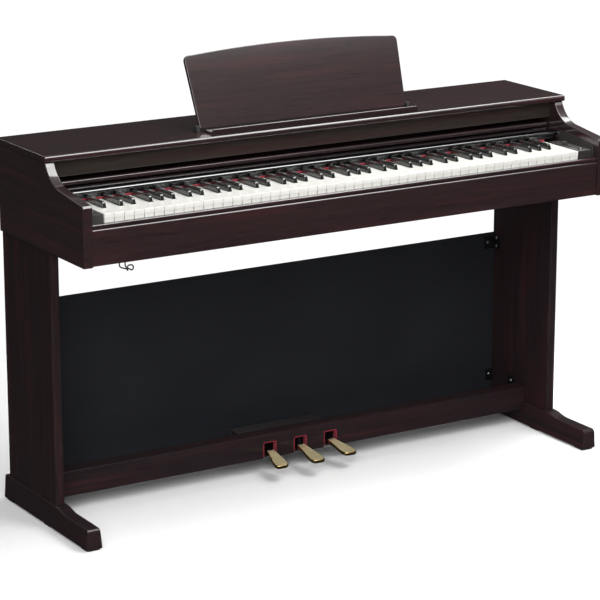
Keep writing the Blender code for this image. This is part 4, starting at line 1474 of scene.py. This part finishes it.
    def works(self) -> None:
        """The base plate, axle, housing and the screw foot."""
        softened("pedal_base_plate", ZINC, 0.0006)
        softened("pedal_housing", MOULDED, 0.0012)
        low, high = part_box("pedal_axle")
        radius = (high.z - low.z) / 2
        centre = (0.0, (low.y + high.y) / 2, (low.z + high.z) / 2)
        profile = [
            (radius - 0.0005, low.x),
            (radius, low.x + 0.0005),
            (radius, high.x - 0.0005),
            (radius - 0.0005, high.x),
        ]
        build("axle_rod", [turned(profile, centre, Axis.X)], ZINC, stands_for="pedal_axle")
        low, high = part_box("height_adjuster")
        centre = ((low.x + high.x) / 2, (low.y + high.y) / 2, 0.0)
        profile = [
            (0.015, low.z), (0.0165, low.z + 0.0004), (0.018, low.z + 0.0020), (0.018, low.z + 0.0062)
        ]
        profile += [
            (0.0168, low.z + 0.0075),
            (0.0065, low.z + 0.0075),
            (0.006, low.z + 0.0080),
            (0.006, high.z - 0.001),
        ]
        profile += [(0.0052, high.z)]
        rings = turned(profile, centre, steps=96)
        turn = np.arange(96) / 96 * 2 * np.pi
        knurl = 1 + 0.018 * np.cos(24 * turn)
        broad = np.array([radius > 0.014 for radius, _ in profile])
        spread = np.where(broad[:, None], knurl[None], 1.0)[..., None]
        flat = np.array(centre[:2])
        rings[..., :2] = flat + (rings[..., :2] - flat) * np.minimum(spread, 1.0)
        build("screw_foot", [rings], MOULDED, "height_adjuster", stands_for="height_adjuster")

    def build_all(self) -> None:
        """Builds the pedal unit."""
        self.rail()
        self.felts()
        self.pedals()
        self.works()


@dataclass
class Studio:
    """A pale floor, soft light and the camera."""

    camera_place: tuple[float, float, float] = (-2.9759, -4.8357, 1.9397)
    camera_yaw: float = 0.54777
    camera_pitch: float = 0.26208
    camera_lens: float = 154.75

    def floor(self) -> None:
        """A round white floor, its rim's points at even turns, that fades into the white backdrop."""
        steps, reach = 96, 2.1
        turn = np.linspace(0, 2 * np.pi, steps, endpoint=False)
        rim = np.stack([reach * np.cos(turn), reach * np.sin(turn), np.zeros(steps)], 1)
        mesh = bpy.data.meshes.new("floor")
        mesh.from_pydata(rim, [], [list(range(steps))])
        material = bpy.data.materials.new("matt_white_paper")
        material.use_nodes = True
        tree = material.node_tree
        shader = tree.nodes["Principled BSDF"]
        shader.inputs["Roughness"].default_value = 0.95
        shader.inputs["Specular IOR Level"].default_value = 0.1
        place = add(tree, "ShaderNodeTexCoord").outputs["Object"]
        noise = add(tree, "ShaderNodeTexNoise", {"Vector": place, "Scale": 3.0, "Detail": 2.0})
        colour = add(
            tree, "ShaderNodeMix", {
                0: noise.outputs[0], 6: linear("#fafafa"), 7: linear("#fefefe")
            }, data_type="RGBA"
        )
        tree.links.new(colour.outputs[2], shader.inputs["Base Color"])
        away = add(tree, "ShaderNodeVectorMath", {0: place}, operation="LENGTH").outputs["Value"]
        fade = add(
            tree, "ShaderNodeMapRange", {0: away, 1: 0.9, 2: reach - 0.1}, interpolation_type="SMOOTHSTEP"
        )
        clear = add(tree, "ShaderNodeBsdfTransparent").outputs[0]
        mixed = add(tree, "ShaderNodeMixShader", {0: fade.outputs[0], 1: shader.outputs[0], 2: clear})
        tree.links.new(mixed.outputs[0], tree.nodes["Material Output"].inputs[0])
        mesh.materials.append(material)
        obj = bpy.data.objects.new("floor", mesh)
        bpy.context.scene.collection.objects.link(obj)
        # The satin boards mirror the dark room and not the white sweep
        obj.visible_glossy = False

    def light(self) -> None:
        """A white backdrop that lights the room only dimly, and soft boxes round the piano."""
        world = bpy.data.worlds.new("studio")
        bpy.context.scene.world = world
        world.use_nodes = True
        tree = world.node_tree
        tree.nodes.clear()
        place = add(tree, "ShaderNodeTexCoord").outputs["Generated"]
        height = add(tree, "ShaderNodeSeparateXYZ", {0: place}).outputs[2]
        strength = add(tree, "ShaderNodeMapRange", {0: height, 1: 0.3, 2: 0.95, 3: 0.03, 4: 0.4})
        surround = add(tree, "ShaderNodeBackground", {0: linear("#ffffff"), 1: strength.outputs[0]})
        backdrop = add(tree, "ShaderNodeBackground", {0: linear("#ffffff"), 1: 1.05})
        seen = add(tree, "ShaderNodeLightPath").outputs["Is Camera Ray"]
        mixed = add(tree, "ShaderNodeMixShader", {0: seen, 1: surround.outputs[0], 2: backdrop.outputs[0]})
        add(tree, "ShaderNodeOutputWorld", {0: mixed.outputs[0]})
        boxes = (
            ("overhead_box", (1.0, -0.45, 2.7), (0.4, -0.1, 0.7), (3.6, 1.15), 105.0),
            ("front_left_box", (-2.4, -3.4, 2.3), (0.0, 0.0, 0.5), (2.4, 2.4), 150.0),
            ("nose_strip", (1.21, -1.67, 2.13), (1.21, -0.14, 0.73), (3.0, 0.22), 6.5),
            ("rear_strip", (-1.5, 2.6, 2.3), (-0.68, 0.08, 0.83), (1.0, 0.5), 8.0),
        )
        for name, place, aim, size, power in boxes:
            lamp = bpy.data.lights.new(name, "AREA")
            lamp.shape = "RECTANGLE"
            lamp.size, lamp.size_y = size
            lamp.energy = power
            obj = bpy.data.objects.new(name, lamp)
            obj.matrix_world = facing(place, np.array(aim) - np.array(place))
            bpy.context.scene.collection.objects.link(obj)

    def camera(self) -> None:
        """A long lens, turned right by its yaw and down by its pitch."""
        lens = bpy.data.cameras.new("camera")
        lens.lens = self.camera_lens
        lens.sensor_width = 36.0
        lens.clip_end = 100.0
        flat = math.cos(self.camera_pitch)
        forward = (
            math.sin(self.camera_yaw) * flat, math.cos(self.camera_yaw) * flat, -math.sin(self.camera_pitch)
        )
        obj = bpy.data.objects.new("camera", lens)
        obj.matrix_world = facing(self.camera_place, forward)
        bpy.context.scene.collection.objects.link(obj)
        bpy.context.scene.camera = obj

    def build_all(self) -> None:
        """Sets up the studio."""
        self.floor()
        self.light()
        self.camera()
        bpy.context.scene.view_settings.view_transform = "Standard"


def facing(place: tuple[float, ...], forward: tuple[float, ...] | Array) -> Matrix:
    """The matrix of a camera or light at a place that looks forward, its top edge level.

    Args:
        place: where it stands.
        forward: the direction it looks in.

    Returns:
        Its world matrix.
    """
    ahead = np.array(forward, float)
    ahead /= np.linalg.norm(ahead)
    right = np.cross(ahead, (0.0, 0.0, 1.0))
    right /= np.linalg.norm(right)
    up = np.cross(right, ahead)
    columns = np.eye(4)
    columns[:3, 0], columns[:3, 1], columns[:3, 2], columns[:3, 3] = right, up, -ahead, place
    return Matrix(columns.tolist())


def main() -> None:
    """Builds every sub-assembly in order."""
    logging.basicConfig(level=logging.INFO, format="%(name)s: %(message)s")
    for assembly in (
        Cabinet(), Keyboard(), Fascia(), MusicRest(), Fittings(), Stand(), PedalUnit(), Studio()
    ):
        before = len(bpy.data.objects)
        assembly.build_all()
        log.info("%s: %d pieces", type(assembly).__name__, len(bpy.data.objects) - before)


if __name__ == "__main__":
    main()
